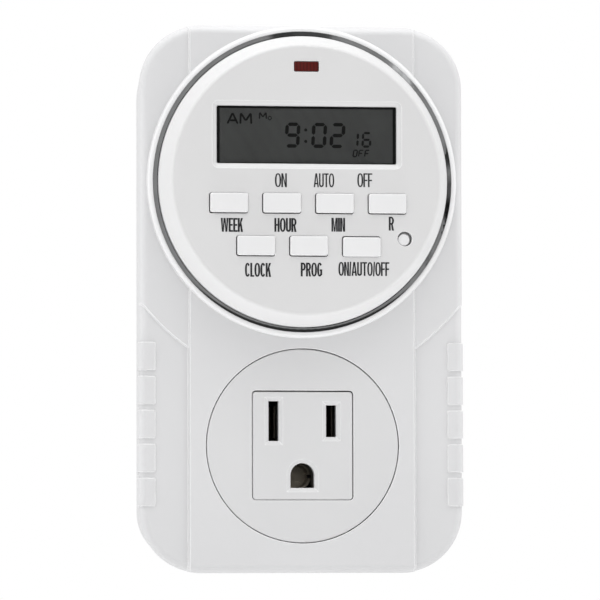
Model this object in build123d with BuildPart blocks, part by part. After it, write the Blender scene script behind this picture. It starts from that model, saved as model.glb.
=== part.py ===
from build123d import *
from math import atan, cos, degrees, radians, sin, tan
import os

# Digital plug-in timer with one switched outlet, in millimetres.
# Origin: on the flat back, midway between the two flat prongs.
# X to the right as seen from the front, Y towards the wall, Z up.
# A depth is measured forward from the flat back, so it is minus Y.

# Clearances
fit_gap = 0.25  # between plastic pieces that sit in one another
running_gap = 0.05  # between a switch plunger and its guide, on the radius
screw_gap = 0.03  # between a screw and its pilot hole, on the radius
screw_spare = 1.0  # depth of a pilot hole past the tip of its screw
head_round = 0.35  # rounding of a screw head, as a share of its height
tip_bevel = 0.4  # bevel of a screw tip, as a share of its radius
cross_length = 1.4  # length of a cross recess, as a share of the head radius

# Casing, whose width and height follow from the dial and the outlet insert
casing_depth = 34.0
casing_corner = 13.7
dial_side_land = 1.8  # casing beside the dial's collar
dial_top_land = 0.3  # casing above the dial's collar
dial_low_land = 2.4  # casing between the dial's collar and the outlet insert
insert_low_land = 6.7  # casing below the outlet insert
casing_draft = 5.5  # degrees that each side leans in towards the back
casing_wall = 2.2
front_wall = 2.0
casing_edge = 1.7
seam_depth = 12.0
seam_bevel = 0.3
tongue_height = 1.6
back_edge = 0.8
label_width = 46.0
label_height = 30.0
label_recess = 0.3
label_corner = 1.0
label_rise = 1.3  # height of the recess above the dial's centre

# Relief of the front
band_half_width = 24.7
band_corner = 2.2
upper_drop = 0.5
lower_drop = 1.0
step_run = 0.4  # width of the sloped step beside the band
flank_land = 9.9  # width of the raised flank round the dial's collar
grip_count = 5
grip_pitch = 7.4
grip_height = 6.05
grip_top = 17.15
grip_width = 3.9
grip_side_proud = 0.25
grip_front_proud = 0.3
grip_reach = 14.0
grip_round = 0.35

# Round dial
dial_radius = 29.5
dial_height = 7.5  # flat face of the dial above the band
rim_height = 2.0  # foot of the sloped rim above the band
bevel_run = 2.3
rim_lean = 0.2
bezel_plate = 2.0
bezel_side = 2.0
bezel_lip = 1.0
bezel_step = 1.4
bezel_shoulder = 0.5
bezel_face_round = 0.9
bezel_rim_round = 0.4
collar_width = 1.2
collar_proud = 0.8
collar_round = 0.7
ring_width = 0.85
ring_proud = 0.95
ring_crown = 0.015  # height of the ring's rounded top, as a share of its width
ring_slope = 0.1  # outer edge of the ring's top below its inner edge
ledge_drop = 1.6  # ledge under the ring below the band

# Display
window_x = 0.05
window_side = 9.8  # dial face left at each end of the window
window_land = 13.5  # dial face left above the window
window_height = 12.5
window_flare = 1.1
window_corner = 0.3
window_thickness = 1.0
window_overlap = 1.4
panel_lap_x = 1.3
panel_lap_z = 2.25
panel_thickness = 2.0
frame_bar = 1.2
zebra_width = 2.0

# Lamp at the top of the dial
lamp_x = -0.1
lamp_inset = 4.85  # lamp's centre inside the edge of the flat face
lamp_width = 5.5
lamp_height = 2.3
lamp_gap = 0.12  # between the lens and its opening
lamp_proud = 0.1
lamp_flange = 0.75
lamp_flange_thickness = 1.0
lamp_round = 0.3
lamp_base = 1.9
lamp_base_thickness = 1.0
lamp_dome = 1.5
lamp_dome_round = 1.35

# Keys
key_width = 8.6
key_height = 4.55
key_round = 0.6
key_gap = 0.16
key_lean = 0.09  # keys sit a little to one side of their openings
key_proud = 0.5
key_travel = 0.8
key_flange = 0.6
key_flange_thickness = 1.0
key_seat_gap = 0.1
key_edge = 0.25
upper_row_z = -5.25
upper_row_x = -17.2
lower_row_z = -14.55
lower_row_x = -11.3
key_pitch = 11.6
upper_names = ["week", "hour", "minute", "recall"]
lower_names = ["clock", "program", "mode"]
low_sitting = ["mode"]  # keys that sit low in their openings, where the others sit high

# Reset button in its pin hole
reset_inset = 4.48  # centre of the hole inside the edge of the flat face
reset_angle = -30.8
reset_hole = 1.62
reset_button_radius = 1.3
reset_lean = 0.19  # button sits low and to the left in its hole by this much
reset_recess = 0.25
reset_flange_radius = 2.1

# Push switches
switch_size = 6.0
reset_switch_size = 3.8
switch_height = 3.5
plunger_radius = 1.7
reset_plunger_radius = 1.15
plunger_length = 2.0
plunger_proud = 0.9
switch_round = 0.4
guide_spare = 0.2  # room left under a plunger that is pressed right in

# Control board
board_room = 0.6  # between the board's edge and the dial's skirt
board_thickness = 1.6
board_front = 33.2
post_radius = 2.4
dial_screw_radius = 1.1
dial_screw_head = 2.0
dial_screw_head_height = 1.4
dial_screw_reach = 4.3
post_inset = 3.2  # centres of the posts inside the edge of the flat face
post_angles = [214.0, 270.0, 123.4, 56.6]

# Parts on the back of the control board
chip_place = (-6.0, 2.0)
chip_radius = 5.5
chip_height = 1.4
chip_round = 1.1
crystal_place = (-9.0, 11.0)
crystal_radius = 1.0
crystal_length = 6.0
crystal_lead_length = 1.2
crystal_lead_radius = 0.2
crystal_lead_spacing = 0.8
battery_place = (-6.0, -12.5)
battery_radius = 8.0
battery_height = 5.4
battery_round = 0.8
battery_cap_round = 0.4
tab_sheet = 0.3
tab_width = 3.0
tab_overhang = 2.0

# Cup that closes the dial
cover_lap = 0.5  # flange of the cup outside the dial's wall
cover_flange = 1.6
cover_floor = 22.4
cover_wall = 1.4
cover_edge = 1.2
cover_step_in = 1.0
column_wall = 1.9
cover_screw_seat = 27.5

# Outlet insert
insert_z = -5.4
insert_radius = 21.2
insert_flange = 2.2
insert_flange_thickness = 1.5
face_width = 22.05
face_height = 23.6
face_round = 0.75
face_flange = 1.8
face_thickness = 7.0
face_plate = 2.2  # thickness of the face round its openings
face_wall = 1.6  # wall round the pocket behind that plate
hairline = 0.18
face_gap = 0.35
face_drop = 0.09  # the face sits low in its opening by this much
face_edge = 0.4
insert_edge = 0.3

# Blades and slots of the standard 15 A plug and outlet
blade_spacing = 12.7
ground_drop = 11.9
blade_thickness = 1.5
neutral_height = 7.9
hot_height = 6.35
blade_length = 15.9
blade_inner = 10.0
blade_hole = 1.6
blade_hole_place = 11.7
blade_point = 1.2
pin_radius = 2.38
pin_root_radius = 1.9
pin_length = 19.0
pin_round = 1.6
slot_width = 2.24
neutral_slot = 8.73
hot_slot = 6.98
ground_hole_width = 5.3
ground_hole_low = -14.6
ground_hole_arc = -11.8
slot_bevel_width = 0.85
slot_bevel_depth = 0.5

# Plug block at the back
plug_width = 29.6
plug_height = 30.0
plug_z = -4.5
plug_round = 3.0
plug_depth = 6.2
plug_flange = 2.0
plug_flange_width = 46.0
plug_flange_height = 24.0
plug_flange_corner = 2.0
plug_screw_x = 19.0
plug_screw_radius = 1.25
plug_screw_head = 2.2
plug_screw_head_height = 1.5
plug_screw_reach = 5.0
plug_boss_radius = 3.0

# Carrier and contacts behind the outlet
carrier_back = 19.0
carrier_plate = 2.0
carrier_margin = 3.0  # carrier plate round the centre of each screw
carrier_block_width = 30.0
carrier_block_height = 32.0
carrier_corner = 3.0
carrier_block_corner = 2.0
carrier_angle = 46.2  # direction of the screws from the insert's centre
carrier_room = 0.33  # between the screw bosses and the insert's flange
carrier_screw_radius = 1.25
carrier_screw_head = 2.2
carrier_screw_head_height = 1.5
carrier_screw_reach = 7.0
carrier_boss_radius = 3.0
contact_floor = 1.0
contact_sheet = 0.5
contact_mouth = 1.1
contact_pinch = 0.6
contact_reach = 5.8
contact_waist = 0.7  # place of the pinch, as a share of the reach
contact_height = 7.0
contact_base_width = 5.4
well_width = 6.4
well_height = 9.2
well_radius = 3.7
sleeve_radius = 2.45
sleeve_slit = 0.8
link_thickness = 0.8
link_width = 6.0
ground_link_width = 4.0
hot_tail = 6.0
link_lap = 3.0

# Screws of the casing
case_low_inset = (8.2, 11.9)  # lower screws inside the casing's sides and low end
case_high_inset = (9.75, 9.7)  # upper screws inside the casing's sides and top
case_screw_radius = 1.35
case_screw_head = 2.7
case_screw_head_height = 2.2
case_screw_seat = 6.0
case_screw_tip = 22.0
case_post_radius = 3.9
case_boss_radius = 3.0
case_well_radius = 3.0
cross_width = 0.7
cross_depth = 0.9

# Power board behind the dial
power_back = 4.4
power_thickness = 1.6
power_side = 8.25  # between the board's edges and the casing's sides
power_low = 22.0
power_room = 1.1  # between the board and the upper screw posts
power_corner = 2.0
standoff_radius = 3.0
power_screw_inset = 4.0
power_screw_radius = 1.25
power_screw_head = 2.2
power_screw_head_height = 1.5
power_screw_tip = 0.9

# Relay
relay_x = -9.0
relay_z = 35.0
relay_width = 19.0
relay_height = 15.5
relay_tall = 15.0
relay_wall = 0.9
relay_base = 1.8
coil_radius = 4.2
coil_length = 7.5
core_radius = 1.5
yoke_thickness = 1.2
yoke_width = 9.0
armature_thickness = 1.2
armature_tilt = 3.0
armature_gap = 0.12
relay_corner = 0.6
relay_edge = 0.5
yoke_gap = 0.3
core_proud = 0.6

# Parts on the power board
dropper_width = 18.0
dropper_height = 8.5
dropper_tall = 14.0
dropper_place = (15.5, 33.0)
dropper_corner = 0.5
can_sizes = [((-18.0, 55.0), 5.0, 12.0), ((-8.5, 62.0), 3.2, 11.0)]
varistor_place = (17.5, 41.5)
varistor_radius = 5.0
varistor_thickness = 3.6
varistor_leads = 5.0
transistor_place = (-8.0, 51.0)
transistor_radius = 2.3
transistor_tall = 4.5
transistor_pitch = 1.27
transistor_flat = 1.25  # distance from the axis to the flat side
diode_place = (13.0, 53.0)
diode_radius = 1.3
diode_length = 5.0
diode_span = 9.0
diode_pitch = 3.6
diode_count = 4
resistor_place = (5.6, 43.2)
resistor_radius = 1.15
resistor_length = 6.2
resistor_span = 9.0
resistor_pitch = 3.4
resistor_count = 3
lead_radius = 0.35
lead_rise = 1.6
lying_round = 0.3  # end rounding of a lying part, as a share of its radius

# Wires
wire_radius = 1.3
wire_bend = 3.2
wire_rise = 13.5  # height at which the wires leave the outlet for the board
pad_inset = 2.6  # wire pads above the low edge of the power board
feed_pad_x = 8.35
feed_start = 8.0
feed_crest = 12.5
switched_pad_x = 0.5
switched_crest = 14.5
tap_pad_x = -8.2
tap_start = 13.0
ribbon_width = 6.4
ribbon_thickness = 1.0
ribbon_x = 3.0
ribbon_rise = 7.3  # ribbon above the dial's centre
ribbon_shift = 5.0
ribbon_bend = 2.5

# Sizes and places worked out from the sizes above
dial_rim = dial_radius + bevel_run
dial_wall = dial_rim + rim_lean
ring_radius = dial_wall + running_gap + ring_width
collar_radius = ring_radius + collar_width
dial_centre = insert_z + insert_radius + dial_low_land + collar_radius
dial_face = casing_depth + dial_height
rim_depth = casing_depth + rim_height
ledge_depth = casing_depth - ledge_drop
casing_width = 2 * (collar_radius + dial_side_land)
casing_low = insert_z - insert_radius - insert_low_land
casing_high = dial_centre + collar_radius + dial_top_land
casing_height = casing_high - casing_low
casing_middle = (casing_high + casing_low) / 2
draft_run = casing_depth * tan(radians(casing_draft))
lower_flank = casing_depth - lower_drop
upper_flank = casing_depth - upper_drop
plate_back = lower_flank - front_wall
arc_radius = collar_radius + flank_land
grip_inner = casing_width / 2 + grip_side_proud - grip_width
label_z = dial_centre + label_rise
window_width = 2 * (dial_radius - window_side)
window_z = dial_radius - window_land - window_height / 2
panel_width = window_width + 2 * panel_lap_x
panel_height = window_height + 2 * panel_lap_z
lamp_z = dial_radius - lamp_inset
reset_x = (dial_radius - reset_inset) * cos(radians(reset_angle))
reset_z = (dial_radius - reset_inset) * sin(radians(reset_angle))
board_radius = dial_wall - bezel_lip - bezel_step - board_room
board_back = board_front - board_thickness
bezel_back = dial_face - bezel_plate
key_top = dial_face + key_proud
flange_front = bezel_back - key_seat_gap
flange_back = flange_front - key_flange_thickness
plunger_top = board_front + switch_height + plunger_proud
dial_axis = Axis((0, 0, dial_centre), (0, 1, 0))
power_front = power_back + power_thickness
power_width = casing_width - 2 * power_side
power_high = casing_high - case_high_inset[1] - case_post_radius - power_room
face_back = casing_depth - face_thickness
carrier_front = face_back
nose_front = casing_depth - face_plate
pocket_width = face_width - 2 * face_wall
pocket_height = face_height - 2 * face_wall
carrier_circle = insert_radius + insert_flange + carrier_boss_radius + carrier_room
carrier_screw_x = carrier_circle * cos(radians(carrier_angle))
carrier_screw_z = carrier_circle * sin(radians(carrier_angle))
carrier_width = 2 * (carrier_screw_x + carrier_margin)
carrier_height = 2 * (carrier_screw_z + carrier_margin)
contact_back = carrier_back + contact_floor
neutral_x = -blade_spacing / 2
neutral_link_x = neutral_x + (blade_thickness + link_thickness) / 2
hot_x = blade_spacing / 2
ground_z = -ground_drop
ribbon_z = dial_centre + ribbon_rise
case_screw_places = [
    (side * (casing_width / 2 - inset[0]), z)
    for inset, z in (
        (case_low_inset, casing_low + case_low_inset[1]),
        (case_high_inset, casing_high - case_high_inset[1]),
    )
    for side in (-1, 1)
]
power_screw_places = [
    (side * (power_width / 2 - power_screw_inset), z)
    for z in (power_low + power_screw_inset, power_high - power_screw_inset)
    for side in (-1, 1)
]
carrier_screw_places = [
    (side * carrier_screw_x, insert_z + rise * carrier_screw_z)
    for rise in (-1, 1)
    for side in (-1, 1)
]
plug_screw_places = [(side * plug_screw_x, plug_z) for side in (-1, 1)]
dial_screw_places = [
    (
        (dial_radius - post_inset) * cos(radians(angle)),
        dial_centre + (dial_radius - post_inset) * sin(radians(angle)),
    )
    for angle in post_angles
]

os.makedirs("parts", exist_ok=True)


# Shared shapes


def at_depth(depth):
    """Plane facing the viewer, the given depth in front of the flat back."""
    return Plane.XZ.offset(depth)


def casing_blank(front, growth, edge):
    """Solid casing block with leaning sides, from the back to a front level."""
    width = casing_width - 2 * draft_run + 2 * growth
    height = casing_height - 2 * draft_run + 2 * growth
    corner = casing_corner - draft_run + growth
    with BuildPart() as blank:
        with BuildSketch(Plane.XZ):
            with Locations((0, casing_middle)):
                RectangleRounded(width, height, corner)
        extrude(amount=front, taper=-casing_draft)
        if edge:
            fillet(blank.faces().sort_by(Axis.Y)[0].edges(), edge)
    return blank.part


def centre_band():
    """Raised band down the middle of the front, with sloped long sides."""
    slope = degrees(atan(step_run / lower_drop))
    root = casing_depth - 2 * lower_drop
    half = band_half_width + 2 * step_run
    low = casing_low - step_run
    high = casing_high + casing_edge
    with BuildPart() as band:
        add(casing_blank(casing_depth, 0, casing_edge))
        with BuildSketch(at_depth(root)) as outline:
            with Locations((0, (low + high) / 2)):
                Rectangle(2 * half, high - low)
            fillet(outline.vertices().group_by(Axis.Z)[0], band_corner)
        extrude(amount=4 * lower_drop, taper=slope, mode=Mode.INTERSECT)
    return band.part


def upper_flank_step():
    """Flank round the dial, half a step above the lower flank."""
    slope = degrees(atan(step_run / lower_drop))
    root = upper_flank - 2 * lower_drop
    with BuildPart() as step:
        add(casing_blank(upper_flank, 0, casing_edge))
        with BuildSketch(at_depth(root)):
            with Locations((0, dial_centre)):
                Circle(arc_radius + 2 * step_run)
        extrude(amount=4 * lower_drop, taper=slope, mode=Mode.INTERSECT)
    return step.part


def side_grip(side, top):
    """One grip block that wraps over a side edge of the casing."""
    with BuildPart() as grip:
        add(casing_blank(lower_flank + grip_front_proud, grip_side_proud, casing_edge))
        with BuildSketch(at_depth(casing_depth - grip_reach)):
            with Locations((side * (grip_inner + grip_width / 2), top - grip_height / 2)):
                RectangleRounded(grip_width, grip_height, grip_round)
        extrude(amount=grip_reach + grip_front_proud, mode=Mode.INTERSECT)
    return grip.part


def screw(place, seat, tip, head_radius, head_height, shank_radius):
    """Pan head screw driven from the back, with a cross recess in its head."""
    with BuildPart() as one_screw:
        with BuildSketch(at_depth(seat - head_height)):
            with Locations(place):
                Circle(head_radius)
        extrude(amount=head_height)
        fillet(one_screw.faces().sort_by(Axis.Y)[-1].edges(), head_height * head_round)
        with BuildSketch(at_depth(seat)):
            with Locations(place):
                Circle(shank_radius)
        extrude(amount=tip - seat)
        chamfer(one_screw.faces().sort_by(Axis.Y)[0].edges(), shank_radius * tip_bevel)
        with BuildSketch(at_depth(seat - head_height)):
            with Locations(place):
                Rectangle(cross_length * head_radius, cross_width)
                Rectangle(cross_width, cross_length * head_radius)
        extrude(amount=cross_depth, mode=Mode.SUBTRACT)
    return one_screw.part


def axial_part(centre, body_radius, body_length, span):
    """Axial part lying along X on the power board, on two bent leads."""
    x, z = centre
    height = power_front + lead_rise
    with BuildPart() as lying:
        with BuildSketch(Plane.YZ.offset(x - body_length / 2)):
            with Locations((-height, z)):
                Circle(body_radius)
        extrude(amount=body_length)
        fillet(lying.edges().filter_by(GeomType.CIRCLE), body_radius * lying_round)
        for side in (-1, 1):
            with BuildLine() as lead:
                FilletPolyline(
                    (x, -height, z),
                    (x + side * span / 2, -height, z),
                    (x + side * span / 2, -power_front, z),
                    radius=2 * lead_radius,
                )
            with BuildSketch(Plane(lead.line @ 0, z_dir=lead.line % 0)):
                Circle(lead_radius)
            sweep(path=lead.line)
    return lying.part


def round_wire(*points):
    """Insulated wire along straight runs joined by arcs."""
    with BuildPart() as wire:
        with BuildLine() as route:
            FilletPolyline(*points, radius=wire_bend)
        with BuildSketch(Plane(route.line @ 0, z_dir=route.line % 0)):
            Circle(wire_radius)
        sweep(path=route.line)
    return wire.part


# Front shell

with BuildPart() as front_shell:
    add(casing_blank(lower_flank, 0, casing_edge))
    add(upper_flank_step())
    add(centre_band())
    for index in range(grip_count):
        for side in (-1, 1):
            add(side_grip(side, grip_top - index * grip_pitch))
    with BuildSketch(at_depth(plate_back)):
        with Locations((0, dial_centre)):
            Circle(collar_radius)
    extrude(amount=casing_depth + collar_proud - plate_back)
    fillet(front_shell.faces().sort_by(Axis.Y)[0].edges(), collar_round)
    # keep the front of the seam and hollow it out
    with BuildSketch(Plane.XZ):
        with Locations((0, casing_middle)):
            Rectangle(2 * casing_width, 2 * casing_height)
    extrude(amount=seam_depth, mode=Mode.SUBTRACT)
    add(casing_blank(plate_back, -casing_wall, 0), mode=Mode.SUBTRACT)
    chamfer(
        front_shell.faces().sort_by(Axis.Y)[-1].outer_wire().edges(),
        seam_bevel,
    )
    # room for the rear shell's tongue
    with BuildPart(mode=Mode.PRIVATE) as tongue_room:
        add(casing_blank(seam_depth + tongue_height + fit_gap, -casing_wall / 2, 0))
    add(tongue_room.part, mode=Mode.SUBTRACT)
    # dial hole with a ledge under the ring
    with BuildSketch(at_depth(ledge_depth)):
        with Locations((0, dial_centre)):
            Circle(ring_radius + running_gap)
    extrude(amount=casing_depth, mode=Mode.SUBTRACT)
    with BuildSketch(at_depth(plate_back)):
        with Locations((0, dial_centre)):
            Circle(dial_wall - bezel_lip + fit_gap)
    extrude(amount=casing_depth, mode=Mode.SUBTRACT)
    # outlet hole
    with BuildSketch(at_depth(plate_back)):
        with Locations((0, insert_z)):
            Circle(insert_radius + hairline / 2)
    extrude(amount=casing_depth, mode=Mode.SUBTRACT)
    # bosses for the carrier screws and the casing screws
    with BuildSketch(at_depth(carrier_back + carrier_plate)):
        with Locations(*carrier_screw_places):
            Circle(carrier_boss_radius)
    extrude(amount=plate_back - carrier_back - carrier_plate)
    with BuildSketch(at_depth(seam_depth)):
        with Locations(*case_screw_places):
            Circle(case_boss_radius)
    extrude(amount=plate_back - seam_depth)
    with BuildSketch(at_depth(carrier_back)):
        with Locations(*carrier_screw_places):
            Circle(carrier_screw_radius + screw_gap)
    extrude(amount=carrier_plate + carrier_screw_reach, mode=Mode.SUBTRACT)
    with BuildSketch(at_depth(0)):
        with Locations(*case_screw_places):
            Circle(case_screw_radius + screw_gap)
    extrude(amount=case_screw_tip + screw_spare, mode=Mode.SUBTRACT)
front_shell.part.label = "front_shell"
export_step(front_shell.part, "parts/front_shell.step")

# Rear shell

with BuildPart() as rear_shell:
    add(casing_blank(seam_depth, 0, 0))
    chamfer(rear_shell.faces().sort_by(Axis.Y)[0].outer_wire().edges(), seam_bevel)
    chamfer(rear_shell.faces().sort_by(Axis.Y)[-1].outer_wire().edges(), back_edge)
    with BuildPart(mode=Mode.PRIVATE) as tongue:
        add(casing_blank(seam_depth + tongue_height, -casing_wall / 2 - fit_gap / 2, 0))
        with BuildSketch(Plane.XZ):
            with Locations((0, casing_middle)):
                Rectangle(2 * casing_width, 2 * casing_height)
        extrude(amount=seam_depth / 2, mode=Mode.SUBTRACT)
    add(tongue.part)
    with BuildPart(mode=Mode.PRIVATE) as hollow:
        add(casing_blank(casing_depth, -casing_wall, 0))
        with BuildSketch(Plane.XZ):
            with Locations((0, casing_middle)):
                Rectangle(2 * casing_width, 2 * casing_height)
        extrude(amount=casing_wall, mode=Mode.SUBTRACT)
    add(hollow.part, mode=Mode.SUBTRACT)
    # posts for the casing screws, standoffs for the power board, plug bosses
    with BuildSketch(Plane.XZ):
        with Locations(*case_screw_places):
            Circle(case_post_radius)
    extrude(amount=seam_depth)
    with BuildSketch(at_depth(casing_wall / 2)):
        with Locations(*power_screw_places):
            Circle(standoff_radius)
    extrude(amount=power_back - casing_wall / 2)
    with BuildSketch(at_depth(casing_wall / 2)):
        with Locations(*plug_screw_places):
            Circle(plug_boss_radius)
    extrude(amount=plug_depth - plug_flange - casing_wall / 2)
    with BuildSketch(Plane.XZ):
        with Locations(*case_screw_places):
            Circle(case_screw_radius + fit_gap)
    extrude(amount=seam_depth, mode=Mode.SUBTRACT)
    with BuildSketch(Plane.XZ):
        with Locations(*case_screw_places):
            Circle(case_well_radius)
    extrude(amount=case_screw_seat, mode=Mode.SUBTRACT)
    with BuildSketch(at_depth(power_screw_tip)):
        with Locations(*power_screw_places):
            Circle(power_screw_radius + screw_gap)
    extrude(amount=power_back, mode=Mode.SUBTRACT)
    with BuildSketch(at_depth(plug_depth - plug_screw_reach)):
        with Locations(*plug_screw_places):
            Circle(plug_screw_radius + screw_gap)
    extrude(amount=plug_depth, mode=Mode.SUBTRACT)
    # bare shallow recess in the back
    with BuildSketch(Plane.XZ):
        with Locations((0, label_z)):
            RectangleRounded(label_width, label_height, label_corner)
    extrude(amount=label_recess, mode=Mode.SUBTRACT)
    # opening for the plug block
    with BuildSketch(Plane.XZ):
        with Locations((0, plug_z)):
            RectangleRounded(plug_width + fit_gap, plug_height + fit_gap, plug_round)
    extrude(amount=plug_depth, mode=Mode.SUBTRACT)
rear_shell.part.label = "rear_shell"
export_step(rear_shell.part, "parts/rear_shell.step")

# Casing screws, driven from the back into the front shell

with BuildPart() as case_screws:
    for place in case_screw_places:
        add(
            screw(
                place,
                case_screw_seat,
                case_screw_tip,
                case_screw_head,
                case_screw_head_height,
                case_screw_radius,
            )
        )
case_screws.part.label = "case_screws"
export_step(case_screws.part, "parts/case_screws.step")

# Bright ring between the collar and the dial

with BuildPart() as trim_ring:
    with BuildSketch(Plane.XY.offset(dial_centre)):
        with BuildLine():
            ring_inner = dial_wall + running_gap
            ring_top = casing_depth + ring_proud
            shoulder = ring_crown * (ring_radius - ring_inner)
            Polyline(
                (ring_inner, -ring_top),
                (ring_inner, -ledge_depth),
                (ring_radius, -ledge_depth),
                (ring_radius, -ring_top + ring_slope),
            )
            ThreePointArc(
                (ring_radius, -ring_top + ring_slope),
                ((ring_radius + ring_inner) / 2, -ring_top + ring_slope / 2 - shoulder),
                (ring_inner, -ring_top),
            )
        make_face()
    revolve(axis=dial_axis)
trim_ring.part.label = "trim_ring"
export_step(trim_ring.part, "parts/trim_ring.step")

# Dial bezel: face plate, sloped rim, side wall and inner posts

with BuildPart() as dial_bezel:
    skirt = dial_wall - bezel_lip
    bore = dial_wall - bezel_side
    neck = bore - bezel_step
    with BuildSketch(Plane.XY.offset(dial_centre)) as profile:
        with BuildLine():
            Polyline(
                (0, -dial_face),
                (dial_radius, -dial_face),
                (dial_rim, -rim_depth),
                (dial_wall, -ledge_depth),
                (skirt, -ledge_depth),
                (skirt, -plate_back),
                (skirt - bezel_step, -plate_back),
                (skirt - bezel_step, -rim_depth + bezel_shoulder),
                (neck, -rim_depth),
                (neck, -bezel_back),
                (0, -bezel_back),
                close=True,
            )
        make_face()
        face_corner = profile.vertices().sort_by_distance((dial_radius, -dial_face, dial_centre))[0]
        fillet(face_corner, bezel_face_round)
        rim_corner = profile.vertices().sort_by_distance((dial_rim, -rim_depth, dial_centre))[0]
        fillet(rim_corner, bezel_rim_round)
    revolve(axis=dial_axis)
    # posts for the screws that come from behind
    with BuildSketch(at_depth(board_front)):
        with Locations(*dial_screw_places):
            Circle(post_radius)
    extrude(amount=bezel_back - board_front + bezel_plate / 2)
    with BuildSketch(at_depth(board_front)):
        with Locations(*dial_screw_places):
            Circle(dial_screw_radius + screw_gap)
    extrude(amount=dial_screw_reach + screw_spare, mode=Mode.SUBTRACT)
    # display opening: a flared frame in front and a seat behind
    with BuildSketch(at_depth(bezel_back)):
        with Locations((window_x, dial_centre + window_z)):
            Rectangle(window_width + 2 * window_overlap, window_height + 2 * window_overlap)
    extrude(amount=window_thickness, mode=Mode.SUBTRACT)
    flare_depth = bezel_plate - window_thickness
    with BuildSketch(at_depth(bezel_back + window_thickness)):
        with Locations((window_x, dial_centre + window_z)):
            RectangleRounded(window_width, window_height, window_corner)
    flare = degrees(atan(window_flare / flare_depth))
    extrude(amount=flare_depth, taper=-flare, mode=Mode.SUBTRACT)
    # lamp, keys and reset openings
    with BuildSketch(at_depth(bezel_back)):
        with Locations((lamp_x, dial_centre + lamp_z)):
            RectangleRounded(lamp_width, lamp_height, lamp_round)
        with Locations(
            *[(upper_row_x + n * key_pitch, dial_centre + upper_row_z) for n in range(len(upper_names))],
            *[(lower_row_x + n * key_pitch, dial_centre + lower_row_z) for n in range(len(lower_names))],
        ):
            RectangleRounded(key_width, key_height, key_round)
        with Locations((reset_x, dial_centre + reset_z)):
            Circle(reset_hole)
    extrude(amount=2 * bezel_plate, mode=Mode.SUBTRACT)
dial_bezel.part.label = "dial_bezel"
export_step(dial_bezel.part, "parts/dial_bezel.step")

# Clear window behind the display opening

with BuildPart() as display_window:
    with BuildSketch(at_depth(bezel_back)):
        with Locations((window_x, dial_centre + window_z)):
            Rectangle(
                window_width + 2 * window_overlap - fit_gap,
                window_height + 2 * window_overlap - fit_gap,
            )
    extrude(amount=window_thickness)
display_window.part.label = "display_window"
export_step(display_window.part, "parts/display_window.step")

# Liquid crystal panel, its frame and the rubber contact strip

with BuildPart() as display_panel:
    with BuildSketch(at_depth(bezel_back - panel_thickness)):
        with Locations((window_x, dial_centre + window_z)):
            Rectangle(panel_width, panel_height)
    extrude(amount=panel_thickness)
display_panel.part.label = "display_panel"
export_step(display_panel.part, "parts/display_panel.step")

with BuildPart() as display_frame:
    with BuildSketch(at_depth(board_front)):
        with Locations((window_x, dial_centre + window_z)):
            Rectangle(panel_width, panel_height)
            Rectangle(
                panel_width - 2 * frame_bar,
                panel_height - 2 * frame_bar,
                mode=Mode.SUBTRACT,
            )
    extrude(amount=bezel_back - panel_thickness - board_front)
display_frame.part.label = "display_frame"
export_step(display_frame.part, "parts/display_frame.step")

with BuildPart() as zebra_strip:
    with BuildSketch(at_depth(board_front)):
        low_edge = dial_centre + window_z - panel_height / 2 + frame_bar
        with Locations((window_x, low_edge + zebra_width / 2)):
            Rectangle(panel_width - 2 * frame_bar - 2 * fit_gap, zebra_width)
    extrude(amount=bezel_back - panel_thickness - board_front)
zebra_strip.part.label = "zebra_strip"
export_step(zebra_strip.part, "parts/zebra_strip.step")

# Red lamp lens and the lamp behind it

with BuildPart() as lamp_lens:
    with BuildSketch(at_depth(bezel_back - lamp_flange_thickness)):
        with Locations((lamp_x, dial_centre + lamp_z)):
            RectangleRounded(
                lamp_width + 2 * lamp_flange,
                lamp_height + 2 * lamp_flange,
                lamp_round,
            )
    extrude(amount=lamp_flange_thickness)
    with BuildSketch(at_depth(bezel_back)):
        with Locations((lamp_x, dial_centre + lamp_z)):
            RectangleRounded(
                lamp_width - 2 * lamp_gap,
                lamp_height - 2 * lamp_gap,
                lamp_round,
            )
    extrude(amount=bezel_plate + lamp_proud)
    fillet(lamp_lens.faces().sort_by(Axis.Y)[0].edges(), lamp_proud)
lamp_lens.part.label = "lamp_lens"
export_step(lamp_lens.part, "parts/lamp_lens.step")

with BuildPart() as indicator_lamp:
    lamp_top = bezel_back - lamp_flange_thickness - fit_gap
    with BuildSketch(at_depth(board_front)):
        with Locations((lamp_x, dial_centre + lamp_z)):
            Circle(lamp_base)
    extrude(amount=lamp_base_thickness)
    with BuildSketch(at_depth(board_front)):
        with Locations((lamp_x, dial_centre + lamp_z)):
            Circle(lamp_dome)
    extrude(amount=lamp_top - board_front)
    fillet(indicator_lamp.faces().sort_by(Axis.Y)[0].edges(), lamp_dome_round)
indicator_lamp.part.label = "indicator_lamp"
export_step(indicator_lamp.part, "parts/indicator_lamp.step")


# Keys and their switch plungers


def key_cap(x, z, lean):
    """Key cap with its flange behind the face and its stem on the plunger."""
    cap_place = (x + key_lean, dial_centre + z + lean)
    with BuildPart() as cap:
        with BuildSketch(at_depth(flange_back)):
            with Locations(cap_place):
                RectangleRounded(
                    key_width + 2 * key_flange,
                    key_height + 2 * key_flange,
                    key_round,
                )
        extrude(amount=key_flange_thickness)
        with BuildSketch(at_depth(flange_front)):
            with Locations(cap_place):
                RectangleRounded(
                    key_width - 2 * key_gap,
                    key_height - 2 * key_gap,
                    key_round - key_gap,
                )
        extrude(amount=key_top - flange_front)
        fillet(cap.faces().sort_by(Axis.Y)[0].edges(), key_edge)
        with BuildSketch(at_depth(plunger_top)):
            with Locations((x, dial_centre + z)):
                Circle(plunger_radius)
        extrude(amount=flange_back - plunger_top)
    return cap.part


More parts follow.
